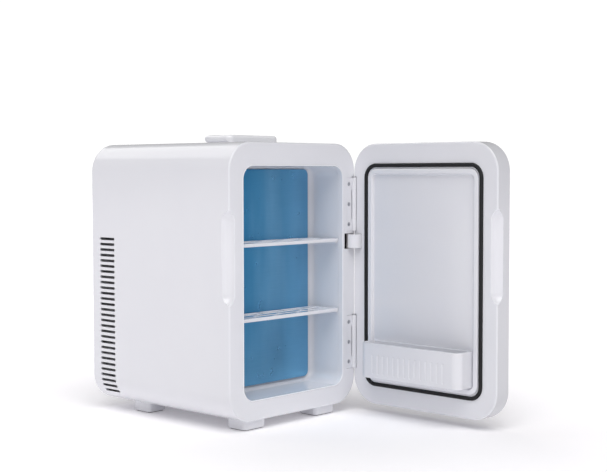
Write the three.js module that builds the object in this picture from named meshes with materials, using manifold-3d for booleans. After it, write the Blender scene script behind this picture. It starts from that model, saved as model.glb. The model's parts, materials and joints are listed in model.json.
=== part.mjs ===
// Mini fridge: a thermoelectric cooler with a side-hinged door that stands open.
// Millimetres, +Z up. The cabinet is drawn with x across it, y from its front face to its rear and z up from
// the underside of its shell. The door is drawn shut, and a turned group opens it about its hinge pins.
import * as THREE from 'three';
import { mergeVertices } from 'three/addons/utils/BufferGeometryUtils.js';
import Module from 'manifold-3d';

const wasm = await Module();
wasm.setup();

// ---- driving dimensions ----
const gap = 0.3; // between pieces that touch
const wall = 2.5; // moulded outer walls
const arcSteps = 4; // half the straight pieces in a quarter turn
const smallSteps = 2; // the same on small corners

const body = { width: 240, depth: 274, height: 355, radius: 38, edge: 1.5 };
const frameDepth = 22; // how far the front frame reaches back round the cabinet
const beyond = 400; // where a cutter that goes right through may end
const opening = { half: 94.5, bottom: 26.5, top: 324.5, radius: 17, collar: 8, wall: 2.2 };
const liner = { back: 60, wall: 2, fillet: 9 };
const plate = { half: 84.5, bottom: 33, top: 320.5, front: 55, thick: 2, radius: 8 };
const foamBack = 130;

const vent = { first: 225.7, pitch: 7.5, count: 29, front: 225.5, rear: 257, height: 3.6, inner: 98 };
const grip = { x: -126.5, y: -1.5, radius: 16.2, wall: 2.5, bottom: 148.6, top: 271.4 };

const hinge = { x: 116.8, y: -1.5, length: 73, knuckle: 16.4, radius: 3.2, bore: 1.5, pin: 1.15, head: 1.2 };
hinge.leaf = { inner: 103, far: -20, thick: 1.8, seat: 0.1, screws: [-27.3, 0, 27.7], screwX: 107.8 };
const hingeMiddles = { upper: 272.4, lower: 82.8 };
const hingeRib = { inner: 100.8, depth: 13, bottom: 38, top: 317 };
const stay = { outer: 13, thick: 1.8, bottom: 212.8, top: 231.3, clear: 1.4, anchor: -10 };
const screwHole = { shank: 1.7, head: 2.9, sunk: 1.2 };

const foot = { height: 12, radius: 5, depth: 34 };
foot.ends = { front: { inner: 47.5, outer: 87, start: 7.5 }, rear: { inner: 58, outer: 90, start: 190.5 } };
const pad = { inset: 3, thick: 2, sunk: 1, radius: 3 };

const core = { z: 175, half: 20 }; // cold block and Peltier module, on the fan's axis
const peltierThick = 3.8;
const sink = { half: 55, base: 8, fins: 15, fin: 2, depth: 52 };
const fan = { half: 45, bore: 42, front: 243, rear: 268.2, hub: 15, disc: 5, struts: 4 };
const rotor = { blades: 7, reach: 39, tilt: 38 };
const cover = { front: 268.5, rear: 271, cutFront: 250 };
const grille = { rows: 5, pitch: 7.5, half: 2.2, web: 1.5 };
const coverScrews = { x: 94, low: 29, high: 326, postHalf: 7, postFront: 240, postReach: 22 };
const inlet = { x: 62, z: 44, halfWidth: 12, halfHeight: 8 };
const socket = { x: 24, z: 44, radius: 8.5 };
const lip = { inlet: 1.5, wall: 1.8, thick: 2.3, barrel: 252, recess: 258 }; // of the inlets
const rocker = { x: -62, z: 48, pivot: 266, halfWidth: 6, halfHeight: 10, caseWidth: 8, caseHeight: 13 };

const shelf = { half: 93, front: 5, rear: 53.5, thick: 3, bar: 4.5, tops: { upper: 226, lower: 130.5 } };
const shelfWeb = { thick: 1.2, side: 6, front: 4, rear: 3 }; // the rims left round its thin middle
const shelfSlot = { rows: 3, most: 4, first: 10.2, length: 36, width: 11.2, pitchX: 41, pitchY: 14.6 };
const runner = { inner: 90.5, front: 10, rear: 52, thick: 3 }; // one under each side of a shelf

const door = { left: -120, right: 118.6, inner: -3, outer: -32, open: 89 };
const panel = { thick: 3, half: 84, recess: 1.5, rimHalf: 92, rimProud: 2.5, rimRadius: 14 };
Object.assign(panel, { bottom: 31.3, top: 321.3 }); // of the rim's outside
const gasket = { outer: 98, width: 5.7, bottom: 24.8, top: 327.9, radius: 19, face: -0.3, groove: 1.5 };
const bin = { half: 82, bottom: 41, top: 88, front: 27, wall: 2, radius: 11 };
const binSlot = { count: 14, pitch: 9, half: 2.4, bottom: 47, top: 73 };
const binLug = { x: 66, bottom: 60, top: 75.6, head: 12, stem: 5, reach: 4.2, headThick: 1.4 };
const magnet = { x: -108, half: 6, bottom: 92, top: 126, front: -10.7 };

const handle = { half: 47, front: 74, bottom: 356, top: 366, arm: 14, pivotY: 117, radius: 6 };
handle.middle = (handle.bottom + handle.top) / 2;
handle.round = handle.top - handle.middle; // of the arms' ends, about the pivot
const lug = { inner: 20, outer: 31.6, front: 110, rear: 123, top: 366 };
const handlePinSize = { radius: 2.2, bore: 2.6, inner: 22, outer: 42, play: 0.4 };

// ---- materials ----
const look = (color, roughness, metalness = 0) =>
  new THREE.MeshStandardMaterial({ color, roughness, metalness });
const whiteGloss = look(0xe9eaee, 0.25);
const whiteSatin = look(0xe4e5ea, 0.45);
const blueFilm = look(0x3f7ba6, 0.3, 0.2);
const blackRubber = look(0x1d1f22, 0.8);
const blackPlastic = look(0x25262a, 0.5);
const greyPlastic = look(0xb9bcc2, 0.5);
const foamYellow = look(0xe6dcb4, 0.95);
const aluminium = look(0xb8bcc0, 0.35, 0.9);
const steel = look(0xc4c6ca, 0.3, 1);
const ceramic = look(0xf0efe8, 0.6);
const boardGreen = look(0x2c6b45, 0.6);

// ---- solids ----
function solid(geometry) {
  const source = geometry.index ? geometry : mergeVertices(geometry);
  for (const name of ['normal', 'uv']) source.deleteAttribute(name);
  const merged = mergeVertices(source);
  const corners = merged.index.array;
  const faces = [];
  for (let i = 0; i < corners.length; i += 3) {
    const [a, b, c] = corners.slice(i, i + 3);
    if (a !== b && b !== c && c !== a) faces.push(a, b, c);
  }
  const vertProperties = new Float32Array(merged.attributes.position.array);
  return new wasm.Manifold(new wasm.Mesh({ numProp: 3, vertProperties, triVerts: new Uint32Array(faces) }));
}

function geometryOf(manifold) {
  const mesh = manifold.getMesh();
  const geometry = new THREE.BufferGeometry();
  geometry.setAttribute('position', new THREE.BufferAttribute(mesh.vertProperties, 3));
  geometry.setIndex(new THREE.BufferAttribute(mesh.triVerts, 1));
  return geometry;
}

const joined = (first, ...others) => others.reduce((whole, piece) => whole.add(piece), first);
const cut = (first, ...others) => others.reduce((whole, piece) => whole.subtract(piece), first);

function roundedOutline(left, right, low, high, radius) {
  const shape = new THREE.Shape();
  shape.absarc(right - radius, low + radius, radius, -Math.PI / 2, 0);
  shape.absarc(right - radius, high - radius, radius, 0, Math.PI / 2);
  shape.absarc(left + radius, high - radius, radius, Math.PI / 2, Math.PI);
  shape.absarc(left + radius, low + radius, radius, Math.PI, 1.5 * Math.PI);
  return shape;
}

// an x-z outline, pushed through y
function slab(shape, front, rear, { steps = arcSteps, bevel = 0, rounds = 1 } = {}) {
  const settings = { depth: rear - front - 2 * bevel, curveSegments: steps, bevelEnabled: bevel > 0 };
  const rounding = { bevelThickness: bevel, bevelSize: bevel, bevelOffset: -bevel, bevelSegments: rounds };
  const geometry = new THREE.ExtrudeGeometry(shape, { ...settings, ...rounding });
  return solid(geometry.rotateX(Math.PI / 2).translate(0, rear - bevel, 0));
}

// an x-y outline, pushed through z
function prism(shape, low, high, steps = smallSteps) {
  const settings = { depth: high - low, curveSegments: steps, bevelEnabled: false };
  return solid(new THREE.ExtrudeGeometry(shape, settings).translate(0, 0, low));
}

// a y-z outline, pushed through x
function extrusion(points, left, right) {
  const shape = new THREE.Shape(points.map(([y, z]) => new THREE.Vector2(y, z)));
  const geometry = new THREE.ExtrudeGeometry(shape, { depth: right - left, bevelEnabled: false });
  geometry.rotateY(Math.PI / 2).rotateX(Math.PI / 2);
  return solid(geometry.translate(left, 0, 0));
}

function block(left, right, front, rear, low, high) {
  const box = new THREE.BoxGeometry(right - left, rear - front, high - low);
  return solid(box.translate((left + right) / 2, (front + rear) / 2, (low + high) / 2));
}

// a cutter through the rear cover
const through = (left, right, low, high) => block(left, right, cover.cutFront, beyond, low, high);

// a round bar from one point to another along x, y or z
function bar(axis, radius, from, to, x, y, z, sides = 12) {
  const cylinder = new THREE.CylinderGeometry(radius, radius, to - from, sides);
  cylinder.translate(0, (from + to) / 2, 0);
  if (axis === 'x') cylinder.rotateZ(-Math.PI / 2);
  if (axis === 'z') cylinder.rotateX(Math.PI / 2);
  return solid(cylinder.translate(x, y, z));
}

function gripGroove(radius) {
  const length = grip.top - grip.bottom - 2 * grip.radius;
  const capsule = new THREE.CapsuleGeometry(radius, length, 4, 20).rotateX(Math.PI / 2);
  return solid(capsule.translate(grip.x, grip.y, (grip.bottom + grip.top) / 2));
}

const bodyOutline = (inset) => {
  const half = body.width / 2 - inset;
  return roundedOutline(-half, half, inset, body.height - inset, body.radius - inset);
};
const openingOutline = (grown) => {
  const half = opening.half + grown;
  return roundedOutline(-half, half, opening.bottom - grown, opening.top + grown, opening.radius + grown);
};
const doorOutline = (inset) =>
  roundedOutline(door.left + inset, door.right - inset, inset, body.height - inset, body.radius - inset);

// ---- cabinet ----
function outerShell() {
  const start = frameDepth + gap;
  let shell = slab(bodyOutline(0), start, body.depth).subtract(slab(bodyOutline(wall), 0, body.depth + 1));
  const inside = slab(bodyOutline(wall / 2), start, cover.front - gap);
  const { postHalf, postFront, postReach } = coverScrews;
  for (const side of [-1, 1]) {
    for (const z of [coverScrews.low, coverScrews.high]) {
      const x = side * coverScrews.x;
      const [low, high] = z < core.z ? [z - postReach, z + postHalf] : [z - postHalf, z + postReach];
      const post = block(x - postHalf, x + postHalf, postFront, cover.front, low, high);
      const hole = bar('y', screwHole.shank, cover.cutFront, cover.rear, x, 0, z, 6);
      shell = shell.add(post.intersect(inside)).subtract(hole);
    }
    const [left, right] = side < 0 ? [-beyond, -vent.inner] : [vent.inner, beyond];
    for (let i = 0; i < vent.count; i++) {
      const z = vent.first - i * vent.pitch;
      const slot = block(left, right, vent.front, vent.rear, z - vent.height / 2, z + vent.height / 2);
      shell = shell.subtract(slot);
    }
  }
  return shell;
}

function knuckleGroove(middle) {
  const half = hinge.length / 2 + gap;
  const headRoom = hinge.head + gap;
  return bar('z', hinge.radius + 2 * gap, middle - half, middle + half + headRoom, hinge.x, hinge.y, 0, 12);
}

function leafPocket(middle) {
  const half = hinge.length / 2 + gap;
  const depth = hinge.leaf.seat + hinge.leaf.thick + gap;
  const flat = block(hinge.leaf.inner - gap, hinge.x, -1, depth, middle - half, middle + half);
  return flat.add(knuckleGroove(middle));
}

function frontFrame() {
  const whole = slab(bodyOutline(0), 0, frameDepth + body.edge, { bevel: body.edge });
  const blank = whole.intersect(block(-beyond, beyond, -1, frameDepth, -1, beyond));
  const hollow = slab(bodyOutline(wall), wall, frameDepth + 1);
  const collar = slab(openingOutline(opening.wall), wall / 2, opening.collar);
  const cup = gripGroove(grip.radius + grip.wall).intersect(blank);
  const [ribInner, ribOuter] = [hingeRib.inner, (body.width - wall) / 2];
  const rib = block(ribInner, ribOuter, wall / 2, hingeRib.depth, hingeRib.bottom, hingeRib.top);
  let frame = joined(blank.subtract(hollow), collar, cup, rib.intersect(blank));
  frame = cut(frame, slab(openingOutline(0), -1, frameDepth), gripGroove(grip.radius));
  for (const middle of Object.values(hingeMiddles)) {
    frame = frame.subtract(leafPocket(middle));
    for (const offset of hinge.leaf.screws) {
      const [x, z] = [hinge.leaf.screwX, middle + offset];
      frame = frame.subtract(bar('y', screwHole.shank, 0, hingeRib.depth - wall, x, 0, z, 6));
    }
  }
  const { clear, bottom, top } = stay;
  const [left, rear] = [hinge.x - stay.outer - clear, hinge.y + stay.outer + clear];
  const right = body.width / 2 - wall - gap;
  return frame.subtract(block(left, right, -1, rear, bottom - clear, top + clear));
}

const coreHole = (front) => {
  const half = core.half + 2 * gap;
  return block(-half, half, front, beyond, core.z - half, core.z + half);
};

function innerLiner() {
  const front = opening.collar + gap;
  const outside = slab(openingOutline(liner.wall), front, liner.back + liner.wall);
  const inside = slab(openingOutline(0), -2 * liner.fillet, liner.back, { bevel: liner.fillet, rounds: 3 });
  let tray = cut(outside, inside, coreHole(plate.front));
  for (const top of Object.values(shelf.tops)) {
    for (const side of [-1, 1]) {
      const [inner, outer] = [runner.inner, opening.half + liner.wall / 2];
      const [left, right] = side < 0 ? [-outer, -inner] : [inner, outer];
      const under = top - shelf.thick - gap;
      tray = tray.add(block(left, right, runner.front, runner.rear, under - runner.thick, under));
    }
  }
  return tray;
}

function foamInsulation() {
  const filling = slab(bodyOutline(wall + gap), frameDepth + gap, foamBack);
  const pocket = slab(openingOutline(liner.wall + gap), 0, liner.back + liner.wall + gap);
  return cut(filling, pocket, coreHole(liner.back));
}

function coldPlate() {
  const outline = roundedOutline(-plate.half, plate.half, plate.bottom, plate.top, plate.radius);
  return slab(outline, plate.front, plate.front + plate.thick, { steps: smallSteps });
}

const coreBlock = (front, rear) =>
  block(-core.half, core.half, front, rear, core.z - core.half, core.z + core.half);
const peltierFront = foamBack + gap;
const peltierRear = peltierFront + peltierThick;

function heatSink() {
  const shape = new THREE.Shape();
  const pitch = (2 * sink.half - sink.fin) / (sink.fins - 1);
  shape.moveTo(sink.half, 0);
  shape.lineTo(-sink.half, 0);
  for (let i = 0; i < sink.fins; i++) {
    const left = -sink.half + i * pitch;
    if (i > 0) shape.lineTo(left, sink.base);
    shape.lineTo(left, sink.depth);
    shape.lineTo(left + sink.fin, sink.depth);
    if (i < sink.fins - 1) shape.lineTo(left + sink.fin, sink.base);
  }
  const high = core.z + sink.half;
  return prism(shape, core.z - sink.half, high).translate([0, peltierRear + gap, 0]);
}

function fanHousing() {
  const outline = roundedOutline(-fan.half, fan.half, core.z - fan.half, core.z + fan.half, 6);
  const [discFront, discRear] = [fan.rear - fan.disc, fan.rear - 1];
  const shaftHole = { radius: 2, rear: fan.rear - 2.5 };
  let frame = slab(outline, fan.front, fan.rear, { steps: smallSteps });
  frame = frame.subtract(bar('y', fan.bore, fan.front - 1, fan.rear + 1, 0, 0, core.z, 28));
  for (let i = 0; i < fan.struts; i++) {
    const strut = block(-1.5, 1.5, discFront, discRear, 5, fan.bore + 1.5);
    frame = frame.add(strut.rotate([0, 45 + (i * 360) / fan.struts, 0]).translate([0, 0, core.z]));
  }
  frame = frame.add(bar('y', fan.hub, discFront, discRear, 0, 0, core.z, 16));
  return frame.subtract(bar('y', shaftHole.radius, fan.front, shaftHole.rear, 0, 0, core.z, 12));
}

function fanRotor() {
  const [front, rear] = [fan.front + 3, fan.rear - fan.disc - 1.5];
  const blade = block(-9, 9, -0.9, 0.9, fan.hub - 3, rotor.reach).rotate([0, 0, rotor.tilt]);
  let whole = bar('y', fan.hub, front, rear, 0, 0, 0, 16);
  for (let i = 0; i < rotor.blades; i++) {
    whole = whole.add(blade.translate([0, (front + rear) / 2, 0]).rotate([0, (i * 360) / rotor.blades, 0]));
  }
  return whole.add(bar('y', 1.6, rear - 1, fan.rear - 3, 0, 0, 0, 12));
}

function rearCover() {
  let panelBack = slab(bodyOutline(wall + gap), cover.front, cover.rear);
  for (let i = -grille.rows; i <= grille.rows; i++) {
    const [z, offset] = [core.z + i * grille.pitch, i * grille.pitch];
    const half = Math.sqrt(fan.bore ** 2 - offset ** 2) - 1;
    for (const [left, right] of [[-half, -grille.web], [grille.web, half]]) {
      panelBack = panelBack.subtract(through(left, right, z - grille.half, z + grille.half));
    }
  }
  for (const x of [-coverScrews.x, coverScrews.x]) {
    for (const z of [coverScrews.low, coverScrews.high]) {
      panelBack = panelBack.subtract(bar('y', screwHole.shank, cover.cutFront, beyond, x, 0, z, 6));
    }
  }
  const [inletHalf, inletHigh] = [inlet.halfWidth - lip.inlet, inlet.halfHeight - lip.inlet];
  const [caseX, caseZ] = [rocker.caseWidth + gap, rocker.caseHeight + gap];
  return cut(
    panelBack,
    through(inlet.x - inletHalf, inlet.x + inletHalf, inlet.z - inletHigh, inlet.z + inletHigh),
    bar('y', socket.radius - lip.inlet, cover.cutFront, beyond, socket.x, 0, socket.z, 16),
    through(rocker.x - caseX, rocker.x + caseX, rocker.z - caseZ, rocker.z + caseZ),
  );
}

// the two inlets and the switch: a flange on the cover, a barrel through it and a recess open to the rear
function mainsInlet() {
  const { halfWidth: w, halfHeight: h } = inlet;
  const [inner, wallIn] = [lip.inlet + gap, lip.inlet + gap + lip.wall];
  const flange = block(-w, w, cover.rear + gap, cover.rear + lip.thick, -h, h);
  const barrel = block(inner - w, w - inner, lip.barrel, cover.rear + 1, inner - h, h - inner);
  const recess = block(wallIn - w, w - wallIn, lip.recess, beyond, wallIn - h, h - wallIn);
  const pins = [-3.5, 3.5].map((x) => bar('y', 1.1, lip.recess - 1, cover.rear - 2, x, 0, 0, 8));
  return joined(flange.add(barrel).subtract(recess), ...pins);
}

function dcSocket() {
  const inner = socket.radius - lip.inlet - gap;
  const flange = bar('y', socket.radius, cover.rear + gap, cover.rear + lip.thick, 0, 0, 0, 20);
  const barrel = bar('y', inner, lip.barrel, cover.rear + 1, 0, 0, 0, 20);
  const recess = bar('y', inner - 1.5, lip.recess, beyond, 0, 0, 0, 20);
  const pin = bar('y', 1.1, lip.recess - 1, cover.rear - 2, 0, 0, 0, 8);
  return joined(flange.add(barrel).subtract(recess), pin);
}

function switchHousing() {
  const { caseWidth: w, caseHeight: h, halfWidth, pivot } = rocker;
  const lipWidth = 1.5;
  const [x, z] = [w + lipWidth, h + lipWidth];
  const flange = block(-x, x, cover.rear + gap, cover.rear + 1.8, -z, z);
  const box = block(-w, w, lip.barrel, cover.rear + 1, -h, h);
  const pocket = block(-halfWidth - gap, halfWidth + gap, lip.recess, beyond, lipWidth - h, h - lipWidth);
  return cut(flange.add(box), pocket, bar('x', 1.5, -7.2, 7.2, 0, pivot, 0, 12));
}

// the rocker's face is two flats that meet in a shallow valley, so one end always stands out
function switchRocker() {
  const h = rocker.halfHeight;
  const face = cover.rear + 1 - rocker.pivot;
  const points = [[face, -h], [face - 1.6, 0], [face, h], [-1, h - 2.5], [-4, 3], [-4, -3], [-1, 2.5 - h]];
  const lever = extrusion(points, -rocker.halfWidth, rocker.halfWidth);
  return lever.add(bar('x', 1.15, -7, 7, 0, 0, 0, 12));
}

function controlBoard() {
  const sheet = { low: 12, high: 13.6, front: 140, rear: 220, half: 60, postX: 52, postInset: 6 };
  const posts = [];
  for (const x of [-sheet.postX, sheet.postX]) {
    for (const y of [sheet.front + sheet.postInset, sheet.rear - sheet.postInset]) {
      posts.push(bar('z', 3, wall + gap, sheet.low + 1, x, y, 0, 8));
    }
  }
  const seat = sheet.low + 1;
  return joined(
    block(-sheet.half, sheet.half, sheet.front, sheet.rear, sheet.low, sheet.high),
    ...posts,
    block(-50, -14, 150, 184, seat, 36), // transformer
    bar('z', 8, seat, 38, 8, 158, 0, 12), // capacitor
    block(22, 50, 150, 154, seat, 34), // cooling tab
    block(20, 34, 190, 204, seat, 24), // relay
  );
}

// feet are drawn about x = 0 and y = 0, as wide as their end of the cabinet has them
const footOutline = (end, inset, radius) => {
  const x = (end.outer - end.inner) / 2 - inset;
  const y = foot.depth / 2 - inset;
  return roundedOutline(-x, x, -y, y, radius);
};

function footBlock(end) {
  const low = -foot.height - gap;
  const seat = prism(footOutline(end, pad.inset - gap, pad.radius), low - 1, low + pad.sunk + gap);
  return prism(footOutline(end, 0, foot.radius), low, -gap).subtract(seat);
}

function footPad(end) {
  const top = pad.sunk - foot.height - gap;
  return prism(footOutline(end, pad.inset, pad.radius), top - pad.thick, top);
}

// ---- hinges, drawn about z = 0 at the middle of each ----
function cabinetLeaf() {
  const { inner, seat, thick, screws, screwX } = hinge.leaf;
  const half = hinge.length / 2;
  let leaf = block(inner, hinge.x, seat, seat + thick, -half, half);
  const free = half - hinge.knuckle + gap;
  leaf = leaf.subtract(block(hinge.x - hinge.radius - 2 * gap, hinge.x + 5, -9, 9, -free, free));
  for (const side of [-1, 1]) {
    const [low, high] = side < 0 ? [-half, -half + hinge.knuckle] : [half - hinge.knuckle, half];
    leaf = leaf.add(bar('z', hinge.radius, low, high, hinge.x, hinge.y, 0, 12));
  }
  for (const z of screws) {
    const shank = bar('y', screwHole.shank, -9, 9, screwX, 0, z, 6);
    leaf = cut(leaf, shank, bar('y', screwHole.head, -9, seat + screwHole.sunk, screwX, 0, z, 10));
  }
  return leaf.subtract(bar('z', hinge.bore, -half - 1, half + 1, hinge.x, hinge.y, 0, 8));
}

function doorLeaf() {
  const half = hinge.length / 2;
  const free = half - hinge.knuckle;
  const right = door.right - hinge.leaf.seat;
  const left = right - hinge.leaf.thick;
  const tongue = block(left, right, hinge.y - 8, hinge.y, -free, free);
  const flat = block(left, right, hinge.leaf.far, hinge.y - hinge.radius - 2 * gap, -half, half);
  const knuckle = bar('z', hinge.radius, -free, free, hinge.x, hinge.y, 0, 12);
  const leaf = joined(flat, tongue, knuckle);
  return leaf.subtract(bar('z', hinge.bore, -half - 1, half + 1, hinge.x, hinge.y, 0, 8));
}

function hingePin() {
  const half = hinge.length / 2;
  const head = bar('z', 2.4, half + gap, half + gap + hinge.head, 0, 0, 0, 10);
  return head.add(bar('z', hinge.pin, 1 - half, half + 1, 0, 0, 0, 8));
}

// a pan head with its shank pointing to +y
const screwHeadThick = 0.9;
function screw(headRadius, length) {
  const head = bar('y', headRadius, 0, screwHeadThick, 0, 0, 0, 10);
  return head.add(bar('y', 1.3, screwHeadThick / 2, length, 0, 0, 0, 6));
}

// ---- door, drawn shut ----
function leafSeat(middle, grown) {
  const half = hinge.length / 2 + gap + grown;
  const left = door.right - hinge.leaf.seat - hinge.leaf.thick - gap - grown;
  return block(left, beyond, hinge.leaf.far - gap - grown, 0, middle - half, middle + half);
}

const shellEdge = door.inner - panel.thick - gap; // where the door's outer shell meets its inner panel

function doorShell() {
  const edge = 2;
  const whole = slab(doorOutline(0), door.outer, door.inner + edge, { bevel: edge });
  const blank = whole.intersect(block(-beyond, beyond, -beyond, shellEdge, -1, beyond));
  let shell = blank.subtract(slab(doorOutline(wall), door.outer + wall, 0));
  for (const middle of Object.values(hingeMiddles)) {
    shell = shell.add(leafSeat(middle, wall).intersect(blank)).subtract(leafSeat(middle, 0));
  }
  return shell.subtract(gripGroove(grip.radius + grip.wall + gap));
}

function stayCurve(inner, outer, from, to) {
  const shape = new THREE.Shape();
  shape.absarc(0, 0, outer, from, to);
  shape.absarc(0, 0, inner, to, from, true);
  return prism(shape, stay.bottom, stay.top).translate([hinge.x, hinge.y, 0]);
}

function doorStay() {
  const inner = stay.outer - stay.thick;
  const [left, right] = [hinge.x - stay.outer, hinge.x - inner];
  const tab = block(left, right, stay.anchor, hinge.y, stay.bottom, stay.top);
  const anchor = block(left - 4, right + 4, stay.anchor, stay.anchor + 1.6, stay.bottom, stay.top);
  return joined(stayCurve(inner, stay.outer, Math.PI / 2, Math.PI), tab, anchor);
}

const stayHole = (grown, front) => {
  const [left, right] = [hinge.x - stay.outer - gap, hinge.x - stay.outer + stay.thick + gap];
  return block(left - grown, right + grown, front, 0, stay.bottom - gap, stay.top + gap);
};

function ring(half, low, high, radius, width, front, rear) {
  const steps = smallSteps + 1;
  const [inner, r] = [half - width, radius - width];
  const hole = roundedOutline(-inner, inner, low + width, high - width, r);
  const outer = slab(roundedOutline(-half, half, low, high, radius), front, rear, { steps });
  return outer.subtract(slab(hole, front - 1, rear + 1, { steps }));
}

function doorLiner() {
  const whole = slab(doorOutline(0), -20, door.inner, { bevel: 1.2 });
  const blank = whole.intersect(block(-beyond, beyond, door.inner - panel.thick, 0, -1, beyond));
  const { rimHalf, rimRadius, rimProud, bottom, top, half: panelHalf } = panel;
  const rimWidth = rimHalf - panelHalf;
  const rim = ring(rimHalf, bottom, top, rimRadius, rimWidth, door.inner - 1, door.inner + rimProud);
  const recessOutline = roundedOutline(
    -panelHalf,
    panelHalf,
    bottom + rimWidth,
    top - rimWidth,
    rimRadius - rimWidth,
  );
  const face = door.inner - panel.recess;
  const recess = slab(recessOutline, face, 2, { steps: smallSteps });
  const groove = ring(
    gasket.outer + gap,
    gasket.bottom - gap,
    gasket.top + gap,
    gasket.radius + gap,
    gasket.width + 2 * gap,
    door.inner - gasket.groove - gap,
    1,
  );
  const cup = gripGroove(grip.radius + grip.wall).intersect(whole);
  let inside = cut(joined(blank, cup), recess, groove).add(rim);
  for (const side of [-1, 1]) {
    const x = side * binLug.x;
    const [stem, head, end] = [binLug.stem / 2, binLug.head / 2, face + binLug.reach];
    const neck = block(x - stem, x + stem, face - 0.5, end, binLug.bottom, binLug.top);
    const cap = block(x - head, x + head, end - binLug.headThick, end, binLug.bottom, binLug.top);
    inside = joined(inside, neck, cap);
  }
  for (const middle of Object.values(hingeMiddles)) {
    inside = cut(inside, leafSeat(middle, 0), knuckleGroove(middle));
  }
  return cut(inside, gripGroove(grip.radius), stayHole(0, -9));
}

function magnetBar(grown) {
  const half = magnet.half + grown;
  const [front, rear] = [magnet.front - grown, shellEdge + grown];
  return block(magnet.x - half, magnet.x + half, front, rear, magnet.bottom - grown, magnet.top + grown);
}

function doorFoam() {
  const filling = slab(doorOutline(wall + gap), door.outer + wall + gap, shellEdge);
  const seats = Object.values(hingeMiddles).map((middle) => leafSeat(middle, wall + gap));
  return cut(
    filling,
    ...seats,
    gripGroove(grip.radius + grip.wall + 2 * gap),
    stayHole(4 + gap, stay.anchor - gap),
    magnetBar(gap),
  );
}

function doorGasket() {
  const { outer, bottom, top, radius, width, groove, face } = gasket;
  return ring(outer, bottom, top, radius, width, door.inner - groove, face);
}

function doorBin() {
  const rear = door.inner - panel.recess + gap;
  const plan = (inset) => {
    const shape = new THREE.Shape();
    const [half, front, r] = [bin.half - inset, bin.front - inset, bin.radius - inset];
    shape.moveTo(-half, rear + inset);
    shape.lineTo(half, rear + inset);
    shape.absarc(half - r, front - r, r, 0, Math.PI / 2);
    shape.absarc(-half + r, front - r, r, Math.PI / 2, Math.PI);
    return shape;
  };
  const inside = prism(plan(bin.wall), bin.bottom + bin.wall, bin.top + 1);
  let box = prism(plan(0), bin.bottom, bin.top).subtract(inside);
  const [front, rearward] = [bin.front - 5, bin.front + 5];
  for (let i = 0; i < binSlot.count; i++) {
    const x = (i - (binSlot.count - 1) / 2) * binSlot.pitch;
    const [left, right] = [x - binSlot.half, x + binSlot.half];
    box = box.subtract(block(left, right, front, rearward, binSlot.bottom, binSlot.top));
  }
  for (const x of [-binLug.x, binLug.x]) {
    const half = binLug.stem / 2 + gap;
    const deep = rear + bin.wall + binLug.reach - 2 * gap;
    box = box.subtract(block(x - half, x + half, rear - 1, deep, bin.bottom - 1, binLug.top + gap));
  }
  return box;
}

// ---- shelves, drawn with their top at z = 0 ----
function shelfPlate() {
  const top = roundedOutline(-shelf.half, shelf.half, shelf.front, shelf.rear, 4);
  let tray = prism(top, -shelf.thick, 0);
  const barHalf = shelf.half - 4;
  tray = tray.add(block(-barHalf, barHalf, shelf.front, shelf.front + 2.5, -shelf.bar, 0));
  const [webHalf, webFront, webRear] = [
    shelf.half - shelfWeb.side, shelf.front + shelfWeb.front, shelf.rear - shelfWeb.rear,
  ];
  tray = tray.subtract(block(-webHalf, webHalf, webFront, webRear, -9, -shelfWeb.thick));
  for (let row = 0; row < shelfSlot.rows; row++) {
    const count = shelfSlot.most - ((row + 1) % 2);
    const y = shelf.front + shelfSlot.first + row * shelfSlot.pitchY;
    for (let i = 0; i < count; i++) {
      const x = (i - (count - 1) / 2) * shelfSlot.pitchX;
      const [half, deep] = [shelfSlot.length / 2, shelfSlot.width / 2];
      tray = tray.subtract(block(x - half, x + half, y - deep, y + deep, -9, 9));
    }
  }
  return tray;
}

// ---- carry handle ----
function carryHandle() {
  const { half, front, bottom, top, arm, radius, pivotY, middle } = handle;
  const outline = roundedOutline(-half, half, front, pivotY + 3 * radius, radius);
  const flat = prism(outline, bottom, top).intersect(block(-half, half, front, pivotY, bottom, top));
  const ends = bar('x', handle.round, -half, half, 0, pivotY, middle, 16);
  const inside = block(-half + arm, half - arm, front + arm, pivotY + 9, bottom - 1, top + 1);
  const slope = [[front - 1, top - 4], [front - 1, top + 1], [front + 4, top + 1]];
  const nose = extrusion(slope, -half - 1, half + 1);
  const bore = bar('x', handlePinSize.bore, -handlePinSize.outer, handlePinSize.outer, 0, pivotY, middle, 12);
  return cut(flat.add(ends), inside, nose, bore);
}

function handleLug() {
  const { inner, outer, front, rear, top } = lug;
  const low = body.height + gap;
  const base = [[front, low], [rear, low], [rear, top - 3]];
  const post = extrusion([...base, [rear - 3, top], [front + 2, top], [front, top - 4]], inner, outer);
  const { bore, inner: from } = handlePinSize;
  return post.subtract(bar('x', bore, from, outer + 1, 0, handle.pivotY, handle.middle, 12));
}

function handlePin() {
  const { radius, inner, outer, play } = handlePinSize;
  return bar('x', radius, inner + play, outer - play, 0, handle.pivotY, handle.middle, 12);
}

// ---- assembly ----
const fridge = new THREE.Group();
const cabinet = new THREE.Group();
const doorTurn = new THREE.Group(); // turns about the hinge pins
const doorShut = new THREE.Group(); // the door's pieces, in the cabinet's own frame
fridge.add(cabinet, doorTurn);
doorTurn.add(doorShut);
doorTurn.position.set(hinge.x, hinge.y, 0);
doorTurn.rotation.z = THREE.MathUtils.degToRad(door.open);
doorShut.position.set(-hinge.x, -hinge.y, 0);

function place(parent, name, manifold, material, position = [0, 0, 0]) {
  const mesh = new THREE.Mesh(geometryOf(manifold), material);
  mesh.name = name;
  mesh.position.set(...position);
  parent.add(mesh);
  return mesh;
}

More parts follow.
